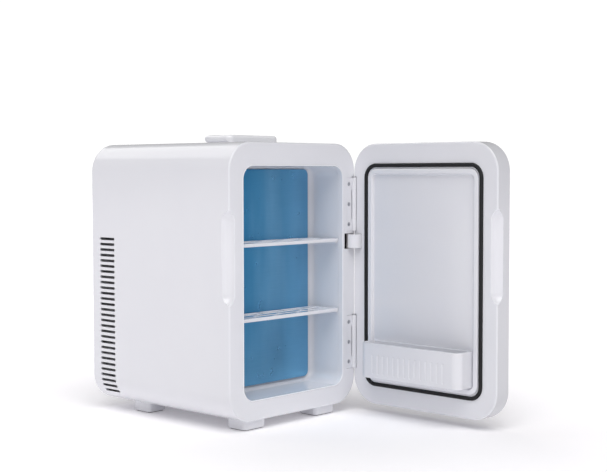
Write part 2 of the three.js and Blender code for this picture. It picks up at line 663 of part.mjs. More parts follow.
place(cabinet, 'outer_shell', outerShell(), whiteGloss);
place(cabinet, 'front_frame', frontFrame(), whiteGloss);
place(cabinet, 'inner_liner', innerLiner(), whiteSatin);
place(cabinet, 'foam_insulation', foamInsulation(), foamYellow);
place(cabinet, 'cold_plate', coldPlate(), blueFilm);
place(cabinet, 'cold_block', coreBlock(plate.front + plate.thick + gap, foamBack), aluminium);
place(cabinet, 'peltier_module', coreBlock(peltierFront, peltierRear), ceramic);
place(cabinet, 'heat_sink', heatSink(), aluminium);
place(cabinet, 'fan_housing', fanHousing(), blackPlastic);
place(cabinet, 'fan_rotor', fanRotor(), blackPlastic, [0, 0, core.z]);
place(cabinet, 'rear_cover', rearCover(), whiteSatin);
place(cabinet, 'mains_inlet', mainsInlet(), blackPlastic, [inlet.x, 0, inlet.z]);
place(cabinet, 'dc_socket', dcSocket(), blackPlastic, [socket.x, 0, socket.z]);
place(cabinet, 'switch_housing', switchHousing(), blackPlastic, [rocker.x, 0, rocker.z]);
place(cabinet, 'switch_rocker', switchRocker(), greyPlastic, [rocker.x, rocker.pivot, rocker.z]);
place(cabinet, 'control_board', controlBoard(), boardGreen);

for (const [side, sign] of [['left', -1], ['right', 1]]) {
  for (const [name, end] of Object.entries(foot.ends)) {
    const at = [(sign * (end.inner + end.outer)) / 2, end.start + foot.depth / 2, 0];
    place(cabinet, `foot_${name}_${side}`, footBlock(end), whiteSatin, at);
    place(cabinet, `foot_pad_${name}_${side}`, footPad(end), blackRubber, at);
  }
  for (const [level, z] of [['low', coverScrews.low], ['high', coverScrews.high]]) {
    const turned = screw(3, 14).rotate([180, 0, 0]);
    const at = [sign * coverScrews.x, cover.rear + gap + screwHeadThick, z];
    place(cabinet, `cover_screw_${level}_${side}`, turned, steel, at);
  }
}

for (const [level, middle] of Object.entries(hingeMiddles)) {
  place(cabinet, `hinge_leaf_${level}`, cabinetLeaf(), whiteSatin, [0, 0, middle]);
  place(cabinet, `hinge_pin_${level}`, hingePin(), steel, [hinge.x, hinge.y, middle]);
  place(doorShut, `door_hinge_leaf_${level}`, doorLeaf(), whiteSatin, [0, 0, middle]);
  hinge.leaf.screws.forEach((offset, i) => {
    const at = [hinge.leaf.screwX, hinge.leaf.seat + 0.1, middle + offset];
    place(cabinet, `hinge_screw_${level}_${i + 1}`, screw(2.5, 8.5), steel, at);
  });
}

const [catchLeft, catchRight] = [magnet.x - magnet.half, magnet.x + magnet.half];
const catchPlate = block(catchLeft, catchRight, wall + gap, wall + 1.8, magnet.bottom, magnet.top);
place(cabinet, 'catch_plate', catchPlate, steel);
for (const [level, top] of Object.entries(shelf.tops)) {
  place(cabinet, `shelf_${level}`, shelfPlate(), whiteSatin, [0, 0, top]);
}

place(cabinet, 'carry_handle', carryHandle(), whiteSatin);
for (const [side, sign] of [['left', -1], ['right', 1]]) {
  const mirrored = (piece) => (sign < 0 ? piece.mirror([1, 0, 0]) : piece);
  place(cabinet, `handle_lug_${side}`, mirrored(handleLug()), whiteSatin);
  place(cabinet, `handle_pin_${side}`, mirrored(handlePin()), steel);
}

place(doorShut, 'door_shell', doorShell(), whiteGloss);
place(doorShut, 'door_liner', doorLiner(), whiteGloss);
place(doorShut, 'door_foam', doorFoam(), foamYellow);
place(doorShut, 'door_gasket', doorGasket(), blackRubber);
place(doorShut, 'door_stay', doorStay(), whiteSatin);
place(doorShut, 'door_bin', doorBin(), whiteSatin);
place(doorShut, 'door_magnet', magnetBar(0), blackPlastic);

// the origin is the middle of the fridge's box, on the surface that it stands on
fridge.updateMatrixWorld(true);
const box = new THREE.Box3().setFromObject(fridge, true);
const centre = box.getCenter(new THREE.Vector3());
fridge.position.set(-centre.x, -centre.y, -box.min.z);

export default fridge;
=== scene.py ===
import json
import math

import bmesh
import bpy
from mathutils import Matrix, Vector


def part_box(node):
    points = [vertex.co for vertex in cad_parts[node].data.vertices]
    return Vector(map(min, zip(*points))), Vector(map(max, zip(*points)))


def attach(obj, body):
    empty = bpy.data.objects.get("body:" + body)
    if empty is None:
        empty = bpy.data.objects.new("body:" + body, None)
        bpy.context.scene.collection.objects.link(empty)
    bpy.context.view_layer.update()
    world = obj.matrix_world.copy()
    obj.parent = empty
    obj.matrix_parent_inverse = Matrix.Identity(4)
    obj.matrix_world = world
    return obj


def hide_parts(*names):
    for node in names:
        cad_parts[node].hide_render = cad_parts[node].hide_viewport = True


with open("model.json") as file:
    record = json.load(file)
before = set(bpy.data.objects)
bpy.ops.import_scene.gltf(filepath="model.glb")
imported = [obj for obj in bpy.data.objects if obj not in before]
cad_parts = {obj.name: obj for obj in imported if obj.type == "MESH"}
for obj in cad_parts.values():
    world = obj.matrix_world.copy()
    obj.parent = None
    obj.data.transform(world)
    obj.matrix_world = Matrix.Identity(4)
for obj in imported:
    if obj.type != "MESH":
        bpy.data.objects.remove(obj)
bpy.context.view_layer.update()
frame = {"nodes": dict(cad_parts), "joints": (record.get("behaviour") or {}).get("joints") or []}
scene = bpy.context.scene
millimetre = 0.001

# Pieces are drawn in millimetres in the cabinet's own frame: x across it, y from its front face to its
# rear, z up from the underside of its shell. The door's pieces are drawn shut and turned open in place.
faceLow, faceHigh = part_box("front_frame")
cabinetOrigin = Vector(((faceLow.x + faceHigh.x) / 2, faceLow.y, faceLow.z))
cabinetPlace = Matrix.Translation(cabinetOrigin) @ Matrix.Scale(millimetre, 4)
doorJoint = next(joint for joint in frame["joints"] if joint["name"] == "door_hinge")
hingeAxis = Matrix.Translation(Vector(doorJoint["pos_m"]))
doorOpen = math.radians(-doorJoint["range_deg"][0])
doorPlace = hingeAxis @ Matrix.Rotation(doorOpen, 4, "Z") @ hingeAxis.inverted() @ cabinetPlace
hingeX, hingeY = (cabinetPlace.inverted() @ Vector(doorJoint["pos_m"])).xy


def boxIn(place, node):  # a CAD node's lowest and highest corner, in a drawing frame
    back = place.inverted()
    corners = [back @ vertex.co for vertex in frame["nodes"][node].data.vertices]
    low = Vector([min(corner[axis] for corner in corners) for axis in range(3)])
    high = Vector([max(corner[axis] for corner in corners) for axis in range(3)])
    return low, high


def cabinetBox(node):
    return boxIn(cabinetPlace, node)


def doorBox(node):
    return boxIn(doorPlace, node)


# shader nodes
class Value:
    def __init__(self, nodes, socket):
        self.nodes, self.socket = nodes, socket

    def maths(self, operation, other):
        return self.nodes.node("Math", {"operation": operation}, {0: self, 1: other})

    def __mul__(self, other):
        return self.maths("MULTIPLY", other)

    __rmul__ = __mul__

    def power(self, exponent):
        return self.maths("POWER", exponent)


class Nodes:
    def __init__(self, tree):
        self.tree = tree

    def node(self, kind, settings={}, inputs={}, output=0):
        node = self.tree.nodes.new("ShaderNode" + kind)
        for key, value in settings.items():
            setattr(node, key, value)
        for key, value in inputs.items():
            self.feed(node.inputs[key], value)
        return Value(self, node.outputs[output])

    def feed(self, socket, value):
        if isinstance(value, Value):
            self.tree.links.new(value.socket, socket)
        else:
            socket.default_value = value


class Finish(Nodes):
    def __init__(self, name, **constants):
        self.material = bpy.data.materials.new(name)
        self.material.use_nodes = True
        super().__init__(self.material.node_tree)
        self.shader = self.tree.nodes["Principled BSDF"]
        for socket, value in constants.items():
            self.shader.inputs[socket.replace("_", " ")].default_value = value
        self.object = self.node("TexCoord", output="Object")

    def noise(self, scale, detail=2.0, roughness=0.5, stretch=(1, 1, 1), turn=(0, 0, 0)):
        where = self.object
        if stretch != (1, 1, 1) or turn != (0, 0, 0):
            where = self.node("Mapping", inputs={"Vector": where, "Rotation": turn, "Scale": stretch})
        inputs = {"Vector": where, "Scale": scale, "Detail": detail, "Roughness": roughness}
        return self.node("TexNoise", inputs=inputs)

    def spread(self, value, low, high, least=0.0, most=1.0):  # remaps low..high to least..most
        inputs = {"Value": value, "From Min": low, "From Max": high, "To Min": least, "To Max": most}
        return self.node("MapRange", inputs=inputs)

    def mixed(self, factor, first, second, blend="MIX"):
        settings = {"data_type": "RGBA", "blend_type": blend}
        return self.node("Mix", settings, {0: factor, 6: first, 7: second}, output=2)

    def use(self, **links):
        for socket, value in links.items():
            self.feed(self.shader.inputs[socket.replace("_", " ")], value)
        return self.material

    def bumps(self, *layers):  # each layer is a height and how far it reaches, in metres
        normal = None
        for height, distance in layers:
            inputs = {"Height": height, "Distance": distance, "Strength": 1.0}
            if normal:
                inputs["Normal"] = normal
            normal = self.node("Bump", inputs=inputs, output="Normal")
        return normal


def tint(red, green, blue):
    return (red, green, blue, 1)


def axisOf(finish, axis):  # one coordinate of the object's space
    return finish.node("SeparateXYZ", inputs={0: finish.object}, output=axis)


# moulded and machined finishes
def mouldedWhite(name, colour, shade, roughness, orangePeel, coat):
    finish = Finish(name, Coat_Roughness=0.12, IOR=1.48)
    mottle = finish.noise(9, 3, 0.55)
    flow = finish.noise(38, 3, 0.5)
    specks = finish.spread(finish.noise(1900, 1, 0.4), 0.74, 0.78)
    clouded = finish.mixed(finish.spread(mottle, 0.35, 0.68), colour, shade)
    dusted = finish.mixed(specks * 0.12, clouded, tint(0.66, 0.67, 0.70))
    rubbed = finish.spread(flow, 0.3, 0.7, roughness - 0.02, roughness + 0.02)
    peel = finish.noise(420, 2, 0.45)
    grain = finish.noise(2600, 2, 0.6)
    normal = finish.bumps((peel, orangePeel), (grain, orangePeel * 0.18))
    return finish.use(Base_Color=dusted, Roughness=rubbed, Coat_Weight=coat, Normal=normal)


def whiteGloss():
    colour, shade = tint(0.84, 0.845, 0.885), tint(0.825, 0.83, 0.875)
    return mouldedWhite("glossWhite", colour, shade, 0.14, 0.000004, 0.4)


def whiteSatin():
    colour, shade = tint(0.84, 0.845, 0.885), tint(0.82, 0.825, 0.87)
    return mouldedWhite("satinWhite", colour, shade, 0.22, 0.000008, 0.3)


def doorPaintedShade():
    # a darker copy of the moulded white: painted shade for the door's outer side
    colour, shade = tint(0.68, 0.685, 0.72), tint(0.665, 0.67, 0.71)
    return mouldedWhite("doorPaintedShade", colour, shade, 0.19, 0.000005, 0.4)


def lipPaintedHighlight():
    # a brighter copy of the moulded white: a painted highlight for the liner's lip bead and the carry handle
    colour, shade = tint(0.95, 0.955, 0.985), tint(0.935, 0.94, 0.975)
    return mouldedWhite("lipPaintedHighlight", colour, shade, 0.14, 0.000003, 0.6)


def shellInsidePaintedShade():
    # near-black painted shade for the shell's inner faces, so that the vents and hollows show dark
    finish = Finish("shellInsidePaintedShade", IOR=1.45)
    mottle = finish.spread(finish.noise(30, 3), 0.3, 0.7)
    colour = finish.mixed(mottle, tint(0.016, 0.010, 0.026), tint(0.034, 0.022, 0.050))
    normal = finish.bumps((finish.noise(500, 2), 0.0001))
    return finish.use(Base_Color=colour, Roughness=finish.spread(mottle, 0, 1, 0.7, 0.85), Normal=normal)


# painted reflection tones for the cold plate: darker at the left, lighter at the right and towards the foot
platePaintedLight = {"left": (0.0, 0.17, 0.36), "right": (0.16, 0.42, 0.66), "foot": (0.19, 0.45, 0.68)}


def blueFilm():
    finish = Finish("blueFilm", IOR=1.5, Coat_Roughness=0.06)
    low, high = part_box("cold_plate")
    across = finish.spread(axisOf(finish, 0), low.x, high.x)
    down = finish.spread(axisOf(finish, 2), high.z, low.z)
    # painted reflection: lighter from left to right, and lighter again towards the plate's foot
    paintedReflectionAcross = finish.mixed(across, tint(*platePaintedLight["left"]), tint(*platePaintedLight["right"]))
    paintedFootLight = finish.mixed(down.power(3) * 0.55, paintedReflectionAcross, tint(*platePaintedLight["foot"]))
    # painted sheen: lighter blue diagonal streaks standing in for reflections on the plate
    sheen = finish.noise(17, 3, 0.5, stretch=(1, 1, 0.16), turn=(0, 0.5, 0))
    paintedSheenStreaks = finish.mixed(finish.spread(sheen, 0.48, 0.72) * 0.4, paintedFootLight, tint(0.25, 0.50, 0.72))
    brushed = finish.noise(900, 2, 0.5, stretch=(0.04, 1, 1))
    fine = finish.mixed(finish.spread(brushed, 0.3, 0.7) * 0.08, paintedSheenStreaks, tint(0.04, 0.18, 0.36))
    rubbed = finish.spread(finish.noise(60, 3), 0.3, 0.7, 0.27, 0.34)
    normal = finish.bumps((brushed, 0.000004), (finish.noise(24, 2), 0.0001))
    return finish.use(Base_Color=fine, Roughness=rubbed, Metallic=0.85, Coat_Weight=0.0, Normal=normal)


def blackRubber():
    finish = Finish("blackRubber", IOR=1.5)
    mottle = finish.spread(finish.noise(70, 4), 0.3, 0.7)
    colour = finish.mixed(mottle, tint(0.004, 0.004, 0.005), tint(0.008, 0.008, 0.010))
    bloom = finish.spread(finish.noise(800, 2), 0.6, 0.75)
    dusty = finish.mixed(bloom * 0.25, colour, tint(0.04, 0.04, 0.043))
    normal = finish.bumps((finish.noise(1400, 3), 0.00008))
    return finish.use(Base_Color=dusty, Roughness=finish.spread(mottle, 0, 1, 0.68, 0.82), Normal=normal)


def blackPlastic():
    finish = Finish("blackPlastic", IOR=1.49)
    mottle = finish.spread(finish.noise(45, 3), 0.3, 0.7)
    colour = finish.mixed(mottle, tint(0.016, 0.016, 0.019), tint(0.026, 0.026, 0.030))
    spark = finish.node("TexVoronoi", inputs={"Vector": finish.object, "Scale": 1500.0})
    normal = finish.bumps((spark, 0.00007), (finish.noise(300, 2), 0.00004))
    return finish.use(Base_Color=colour, Roughness=finish.spread(mottle, 0, 1, 0.40, 0.52), Normal=normal)


def greyPlastic():
    finish = Finish("greyPlastic", IOR=1.49)
    mottle = finish.spread(finish.noise(60, 3), 0.3, 0.7)
    colour = finish.mixed(mottle, tint(0.45, 0.46, 0.50), tint(0.50, 0.51, 0.54))
    normal = finish.bumps((finish.noise(900, 2), 0.00005))
    return finish.use(Base_Color=colour, Roughness=finish.spread(mottle, 0, 1, 0.36, 0.46), Normal=normal)


def foam():
    finish = Finish("pouredFoam")
    cells = finish.node("TexVoronoi", inputs={"Vector": finish.object, "Scale": 700.0})
    aged = finish.spread(finish.noise(22, 4), 0.3, 0.7)
    colour = finish.mixed(aged, tint(0.80, 0.70, 0.42), tint(0.70, 0.57, 0.30))
    pitted = finish.mixed(finish.spread(cells, 0.1, 0.5), tint(0.5, 0.39, 0.2), colour)
    normal = finish.bumps((cells, 0.0005), (finish.noise(160, 3), 0.0006))
    return finish.use(Base_Color=pitted, Roughness=finish.spread(aged, 0, 1, 0.85, 0.97), Normal=normal)


def metal(name, colour, shade, roughness, scratch, stretch):
    finish = Finish(name)
    lines = finish.noise(scratch, 3, 0.6, stretch=stretch)
    mottle = finish.spread(finish.noise(40, 3), 0.3, 0.7)
    toned = finish.mixed(mottle, colour, shade)
    rubbed = finish.spread(lines, 0.3, 0.7, roughness - 0.06, roughness + 0.08)
    normal = finish.bumps((lines, 0.00003))
    return finish.use(Base_Color=toned, Metallic=1.0, Roughness=rubbed, Normal=normal)


def bareAluminium():
    return metal("bareAluminium", tint(0.72, 0.73, 0.75), tint(0.60, 0.61, 0.64), 0.36, 1200, (1, 1, 0.05))


def steel():
    return metal("zincSteel", tint(0.50, 0.51, 0.54), tint(0.38, 0.39, 0.43), 0.32, 2200, (0.2, 1, 1))


def whiteCeramic():
    finish = Finish("whiteCeramic", IOR=1.7)
    mottle = finish.spread(finish.noise(120, 4), 0.3, 0.7)
    colour = finish.mixed(mottle, tint(0.84, 0.83, 0.79), tint(0.76, 0.75, 0.71))
    normal = finish.bumps((finish.noise(1500, 2), 0.00004))
    return finish.use(Base_Color=colour, Roughness=finish.spread(mottle, 0, 1, 0.5, 0.65), Normal=normal)


def boardGreen():
    finish = Finish("boardGreen", IOR=1.5)
    settings = {"feature": "DISTANCE_TO_EDGE"}
    cells = finish.node("TexVoronoi", settings, {"Vector": finish.object, "Scale": 150.0})
    tracks = finish.spread(cells, 0.03, 0.06)
    weave = finish.spread(finish.noise(1800, 2), 0.3, 0.7)
    resist = finish.mixed(weave, tint(0.015, 0.13, 0.06), tint(0.02, 0.17, 0.08))
    colour = finish.mixed(tracks, tint(0.05, 0.27, 0.12), resist)
    normal = finish.bumps((tracks, 0.00006), (weave, 0.00003))
    return finish.use(Base_Color=colour, Roughness=finish.spread(weave, 0, 1, 0.28, 0.4), Normal=normal)


looks = {
    "white_gloss": whiteGloss(),
    "white_satin": whiteSatin(),
    "blue_film": blueFilm(),
    "black_rubber": blackRubber(),
    "black_plastic": blackPlastic(),
    "grey_plastic": greyPlastic(),
    "foam": foam(),
    "bare_aluminium": bareAluminium(),
    "steel": steel(),
    "white_ceramic": whiteCeramic(),
    "board_green": boardGreen(),
}
insideShadeLook, highlightLook, doorShadeLook = shellInsidePaintedShade(), lipPaintedHighlight(), doorPaintedShade()
print("finishes made")


# shapes, each a closed bmesh in millimetres
def axisIndex(axis):
    return "xyz".index(axis)


def middleOf(edge):
    return (edge.verts[0].co + edge.verts[1].co) / 2


def edgesAt(mesh, axis, level, near=1e-4):  # the edges that lie flat at one level of an axis
    return [edge for edge in mesh.edges if all(abs(vertex.co[axis] - level) < near for vertex in edge.verts)]


def bevelled(mesh, edges, reach, segments):
    if edges and reach:
        settings = {"affect": "EDGES", "profile": 0.5, "material": -1}
        bmesh.ops.bevel(mesh, geom=edges, offset=reach, segments=segments, **settings)


# a block whose four edges along one axis are rounded, and the rims of its two ends eased
def roundedBlock(low, high, axis="y", radius=0, segments=10, lowEdge=0, highEdge=0, edgeSegments=4,
                 corner=None):
    mesh = bmesh.new()
    low, high = Vector(low), Vector(high)
    bmesh.ops.create_cube(mesh, size=1)
    bmesh.ops.scale(mesh, vec=high - low, verts=mesh.verts)
    bmesh.ops.translate(mesh, vec=(low + high) / 2, verts=mesh.verts)
    along = axisIndex(axis)
    if radius:
        flat = edgesAt(mesh, along, low[along]) + edgesAt(mesh, along, high[along])
        run = [edge for edge in mesh.edges if edge not in flat]
        if corner:
            run = [edge for edge in run if corner(middleOf(edge))]
        bevelled(mesh, run, radius, segments)
    for reach, level in ((lowEdge, low[along]), (highEdge, high[along])):
        bevelled(mesh, edgesAt(mesh, along, level), reach, edgeSegments)
    return mesh


def bar(axis, radius, start, end, centre, sides=32, lowEdge=0, highEdge=0, tip=None):
    mesh = bmesh.new()
    length = end - start
    radii = {"radius1": radius, "radius2": radius if tip is None else tip}
    bmesh.ops.create_cone(mesh, cap_ends=True, segments=sides, depth=length, **radii)
    for reach, level in ((lowEdge, -length / 2), (highEdge, length / 2)):
        bevelled(mesh, edgesAt(mesh, 2, level), reach, 3)
    turn = {"x": Matrix.Rotation(math.pi / 2, 4, "Y"), "y": Matrix.Rotation(-math.pi / 2, 4, "X")}
    middle = Vector(centre)
    middle[axisIndex(axis)] = (start + end) / 2
    bmesh.ops.transform(mesh, matrix=Matrix.Translation(middle) @ turn.get(axis, Matrix()), verts=mesh.verts)
    return mesh


def vertsOf(result):  # the vertices that an operator has made
    return [part for part in result["geom"] if isinstance(part, bmesh.types.BMVert)]


def capsule(radius, bottom, top, x, y):  # an upright bar with domed ends
    mesh = bmesh.new()
    bmesh.ops.create_uvsphere(mesh, u_segments=48, v_segments=24, radius=radius)
    under = [vertex for vertex in mesh.verts if vertex.co.z < -1e-4]
    bmesh.ops.delete(mesh, geom=under, context="VERTS")
    reach = (top - bottom) / 2 - radius
    bmesh.ops.translate(mesh, vec=(0, 0, reach), verts=mesh.verts)
    rim = [edge for edge in mesh.edges if edge.is_boundary]
    wall = bmesh.ops.extrude_edge_only(mesh, edges=rim)
    bmesh.ops.translate(mesh, vec=(0, 0, -reach), verts=vertsOf(wall))
    whole = mesh.verts[:] + mesh.edges[:] + mesh.faces[:]
    bmesh.ops.mirror(mesh, geom=whole, matrix=Matrix(), merge_dist=1e-3, axis="Z")
    bmesh.ops.translate(mesh, vec=(x, y, (bottom + top) / 2), verts=mesh.verts)
    bmesh.ops.recalc_face_normals(mesh, faces=mesh.faces)
    return mesh


# a rounded frame in the x-z plane, pushed from low.y to high.y
def ring(low, high, radius, width, segments=12, frontEdge=0, edgeSegments=4):
    outer = roundedBlock(low, high, "y", radius, segments)
    inset = Vector((width, 0, width))
    innerLow, innerHigh = Vector(low) + inset, Vector(high) - inset
    innerLow.y, innerHigh.y = low[1] - 5, high[1] + 5
    inner = roundedBlock(innerLow, innerHigh, "y", radius - width, segments)
    made = combine(outer, [inner])
    if frontEdge:
        rim = [edge for edge in edgesAt(made, 1, high[1], 1e-3) if edge.calc_face_angle(0) > 1]
        bevelled(made, rim, frontEdge, edgeSegments)
    return made


def scratchObject(mesh):
    data = bpy.data.meshes.new("scratch")
    mesh.to_mesh(data)
    mesh.free()
    data.materials.append(None)  # two empty slots, so that the faces keep their index
    data.materials.append(None)
    made = bpy.data.objects.new("scratch", data)
    scene.collection.objects.link(made)
    return made


def combine(base, tools, operation="DIFFERENCE"):  # cuts or joins closed shapes
    body = scratchObject(base)
    cutters = [scratchObject(tool) for tool in tools]
    for cutter in cutters:
        step = body.modifiers.new("cut", "BOOLEAN")
        step.operation, step.solver, step.object = operation, "EXACT", cutter
    evaluated = body.evaluated_get(bpy.context.evaluated_depsgraph_get())
    result = bmesh.new()
    data = bpy.data.meshes.new_from_object(evaluated)
    result.from_mesh(data)
    bpy.data.meshes.remove(data)
    for used in [body, *cutters]:
        data = used.data
        bpy.data.objects.remove(used)
        bpy.data.meshes.remove(data)
    bmesh.ops.remove_doubles(result, verts=result.verts, dist=1e-4)
    bmesh.ops.dissolve_degenerate(result, edges=result.edges, dist=1e-4)
    return result


def together(*shapes):  # several shapes in one mesh
    whole = bmesh.new()
    for shape in shapes:
        data = bpy.data.meshes.new("scratch")
        shape.to_mesh(data)
        shape.free()
        whole.from_mesh(data)
        bpy.data.meshes.remove(data)
    return whole


def copied(shape, matrices):
    copies = []
    for matrix in matrices:
        twin = shape.copy()
        bmesh.ops.transform(twin, matrix=matrix, verts=twin.verts)
        if matrix.determinant() < 0:
            bmesh.ops.reverse_faces(twin, faces=twin.faces)
        copies.append(twin)
    shape.free()
    return together(*copies)


# moves a finished shape into place and makes it a piece of the fridge
def makePiece(name, mesh, place, body, slot, stands, smooth=32, soften=0, softSegments=2, extras=()):
    bmesh.ops.transform(mesh, matrix=place, verts=mesh.verts)
    for face in mesh.faces:
        face.smooth = True
    data = bpy.data.meshes.new(name)
    mesh.to_mesh(data)
    mesh.free()
    piece = bpy.data.objects.new(name, data)
    scene.collection.objects.link(piece)
    data.materials.append(looks[slot])
    for extra in extras:
        data.materials.append(extra)
    data.set_sharp_from_angle(angle=math.radians(smooth))
    if soften:
        edge = piece.modifiers.new("softEdges", "BEVEL")
        edge.width, edge.segments = soften * millimetre, softSegments
        edge.limit_method, edge.angle_limit = "ANGLE", math.radians(smooth)
        edge.harden_normals = True
        edge.use_clamp_overlap = True
    shading = piece.modifiers.new("evenShading", "WEIGHTED_NORMAL")
    shading.keep_sharp = True
    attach(piece, body)
    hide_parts(*stands)
    return piece


def onCabinet(name, mesh, slot, node, **settings):
    makePiece(name, mesh, cabinetPlace, "cabinet", slot, [node], **settings)


def onDoor(name, mesh, slot, node, **settings):
    makePiece(name, mesh, doorPlace, "door", slot, [node], **settings)


# camera, floor and light
view = {
    "from": (-1.1816, -1.1061, 0.3162),  # metres from the middle of the cabinet's lower front edge
    "towards": (0.7336, 0.6777, -0.0513),
    "roll": -0.096,  # degrees
    "lens": 73.43,
}


def makeCamera():
    data = bpy.data.cameras.new("camera")
    data.lens, data.sensor_width = view["lens"], 36
    data.clip_start, data.clip_end = 0.05, 60
    camera = bpy.data.objects.new("camera", data)
    scene.collection.objects.link(camera)
    camera.location = cabinetOrigin + Vector(view["from"])
    aim = Vector(view["towards"]).to_track_quat("-Z", "Y").to_matrix().to_4x4()
    turned = aim @ Matrix.Rotation(math.radians(view["roll"]), 4, "Z")
    camera.rotation_euler = turned.to_euler()
    scene.camera = camera


studio = {
    "floor": 14,
    "floorTone": (0.985, 0.98, 0.99),
    "floorGlow": (0.12, 0.36),  # the floor's own light, near the fridge and past the fade
    "fade": (0.22, 0.6),
    "sky": 0.15,  # the surroundings as light
    "mirrored": 0.34,  # the surroundings in reflections
    "backdrop": 1.06,  # the surroundings behind the fridge
}


def makeFloor():
    mesh = bmesh.new()
    bmesh.ops.create_grid(mesh, x_segments=8, y_segments=8, size=studio["floor"])
    data = bpy.data.meshes.new("floor")
    mesh.to_mesh(data)
    mesh.free()
    floor = bpy.data.objects.new("floor", data)
    scene.collection.objects.link(floor)
    finish = Finish("paperSweep", IOR=1.3)
    fibre = finish.spread(finish.noise(7, 3), 0.3, 0.7)
    red, green, blue = studio["floorTone"]
    colour = finish.mixed(fibre, tint(red, green, blue), tint(red + 0.01, green + 0.01, blue + 0.01))
    away = finish.node("VectorMath", {"operation": "LENGTH"}, {0: finish.object}, output="Value")
    near, far = studio["floorGlow"]
    glow = finish.spread(away, studio["fade"][0], studio["fade"][1], near, far)
    shine = finish.mixed(glow, tint(0, 0, 0), tint(0.98, 0.95, 1.0))
    finish.shader.inputs["Emission Strength"].default_value = 1.0
    data.materials.append(finish.use(Base_Color=colour, Roughness=0.9, Emission_Color=shine))


def makeSky():
    world = bpy.data.worlds.new("studio")
    scene.world = world
    world.use_nodes = True
    nodes = Nodes(world.node_tree)
    lit = nodes.tree.nodes["Background"]
    nodes.feed(lit.inputs["Color"], tint(0.96, 0.965, 1.0))
    nodes.feed(lit.inputs["Strength"], studio["sky"])
    sky = Value(nodes, lit.outputs[0])
    for ray, strength in (("Is Glossy Ray", studio["mirrored"]), ("Is Camera Ray", studio["backdrop"])):
        seen = nodes.node("Background", inputs={"Color": tint(1, 1, 1), "Strength": strength})
        sky = nodes.node("MixShader", inputs={0: nodes.node("LightPath", output=ray), 1: sky, 2: seen})
    nodes.feed(nodes.tree.nodes["World Output"].inputs["Surface"], sky)


suns = {  # angles in degrees, the side measured from the front round to the left
    "key": {"strength": 1.74, "height": 58, "side": 40, "spread": 50},
    "left": {"strength": 0.22, "height": 30, "side": 70, "spread": 50},
    "front": {"strength": 0.10, "height": 35, "side": 0, "spread": 50},
    "back": {"strength": 0.60, "height": 50, "side": 180, "spread": 50},
}


def makeSun(name, settings):
    data = bpy.data.lights.new(name, "SUN")
    data.energy, data.angle = settings["strength"], math.radians(settings["spread"])
    data.color = (1.0, 0.99, 0.985)
    made = bpy.data.objects.new(name, data)
    scene.collection.objects.link(made)
    height, side = math.radians(settings["height"]), math.radians(settings["side"])
    level = math.cos(height)
    source = Vector((-level * math.sin(side), -level * math.cos(side), math.sin(height)))
    made.rotation_euler = source.to_track_quat("Z", "Y").to_euler()


makeCamera()
makeFloor()
makeSky()
for name, settings in suns.items():
    makeSun(name, settings)
scene.view_settings.view_transform = "Standard"
print("camera, floor and light made")

# cabinet
shell = {"radius": 38, "corner": 20, "wall": 2.5, "frontEdge": 2.4, "rearEdge": 2.4}
mouth = {"radius": 17, "collar": 8, "wall": 2.6}
flange = {"wide": 1.7, "proud": 0.25, "deep": 0.8, "edge": 0.8}
grip = {"radius": 16.2, "wall": 2.5, "x": -126.5, "y": -1.5, "bottom": 148.6, "top": 271.4, "edge": 0.7}
vents = {
    "count": 29, "first": 225.7, "pitch": 7.5, "height": 3.6,
    "round": 1.2, "deep": 22, "front": 225.5, "rear": 257,
}
hingeRib = {"left": 100.8, "deep": 13, "bottom": 38, "top": 317}  # the solid behind the hinges
leafPocket = {"deep": 2.2, "gap": 0.3, "groove": 3.8}
stayLook = {"outer": 13, "thick": 1.8, "gap": 1.4, "steps": 16, "edge": 0.5}
bodyLow, bodyHigh = cabinetBox("front_frame")
shellRear = cabinetBox("outer_shell")[1].y
linerLow, linerHigh = cabinetBox("inner_liner")
tray = {"wall": 2, "round": 19, "rearEdge": 8, "fillet": 9, "fold": 7}
runner = {"inner": 90.5, "thick": 3, "under": 3.3, "front": 10, "rear": 52, "edge": 0.9}
mouthLow = Vector((linerLow.x + tray["wall"], 0, linerLow.z + tray["wall"]))
mouthHigh = Vector((linerHigh.x - tray["wall"], 0, linerHigh.z - tray["wall"]))
doorLow, doorHigh = doorBox("door_liner")
doorOuter = doorBox("door_shell")[0].y
hingeLevels = ("upper", "lower")


def onGrip(spot):  # whether a spot lies on the wall of the grip
    apart = math.hypot(spot.x - grip["x"], spot.y - grip["y"])
    return grip["bottom"] - 1 < spot.z < grip["top"] + 1 and apart < grip["radius"] + 0.5


def easeGrip(mesh, onRim):  # softens the grip's rim, where it leaves the moulding
    sharp = math.radians(20)
    edges = [edge for edge in mesh.edges if edge.is_manifold and edge.calc_face_angle(0) > sharp]
    edges = [edge for edge in edges if onGrip(middleOf(edge)) and onRim(middleOf(edge))]
    bevelled(mesh, edges, grip["edge"], 3)


def gripGroove(grown=0):
    return capsule(grip["radius"] + grown, grip["bottom"] - grown, grip["top"] + grown, grip["x"], grip["y"])


def ventCutter():
    half = vents["height"] / 2
    low = (bodyLow.x - 5, vents["front"], vents["first"] - half)
    high = (bodyLow.x + vents["deep"], vents["rear"], vents["first"] + half)
    slot = roundedBlock(low, high, "x", vents["round"], 4)
    steps = [Matrix.Translation((0, 0, -number * vents["pitch"])) for number in range(vents["count"])]
    left = copied(slot, steps)
    return copied(left, [Matrix(), Matrix.Scale(-1, 4, (1, 0, 0))])


def knuckleGroove(level):
    low, high = cabinetBox("hinge_leaf_" + level)
    end = high.z + leafPocket["gap"] + 1.5
    return bar("z", leafPocket["groove"], low.z - leafPocket["gap"], end, (hingeX, hingeY, 0), 40)


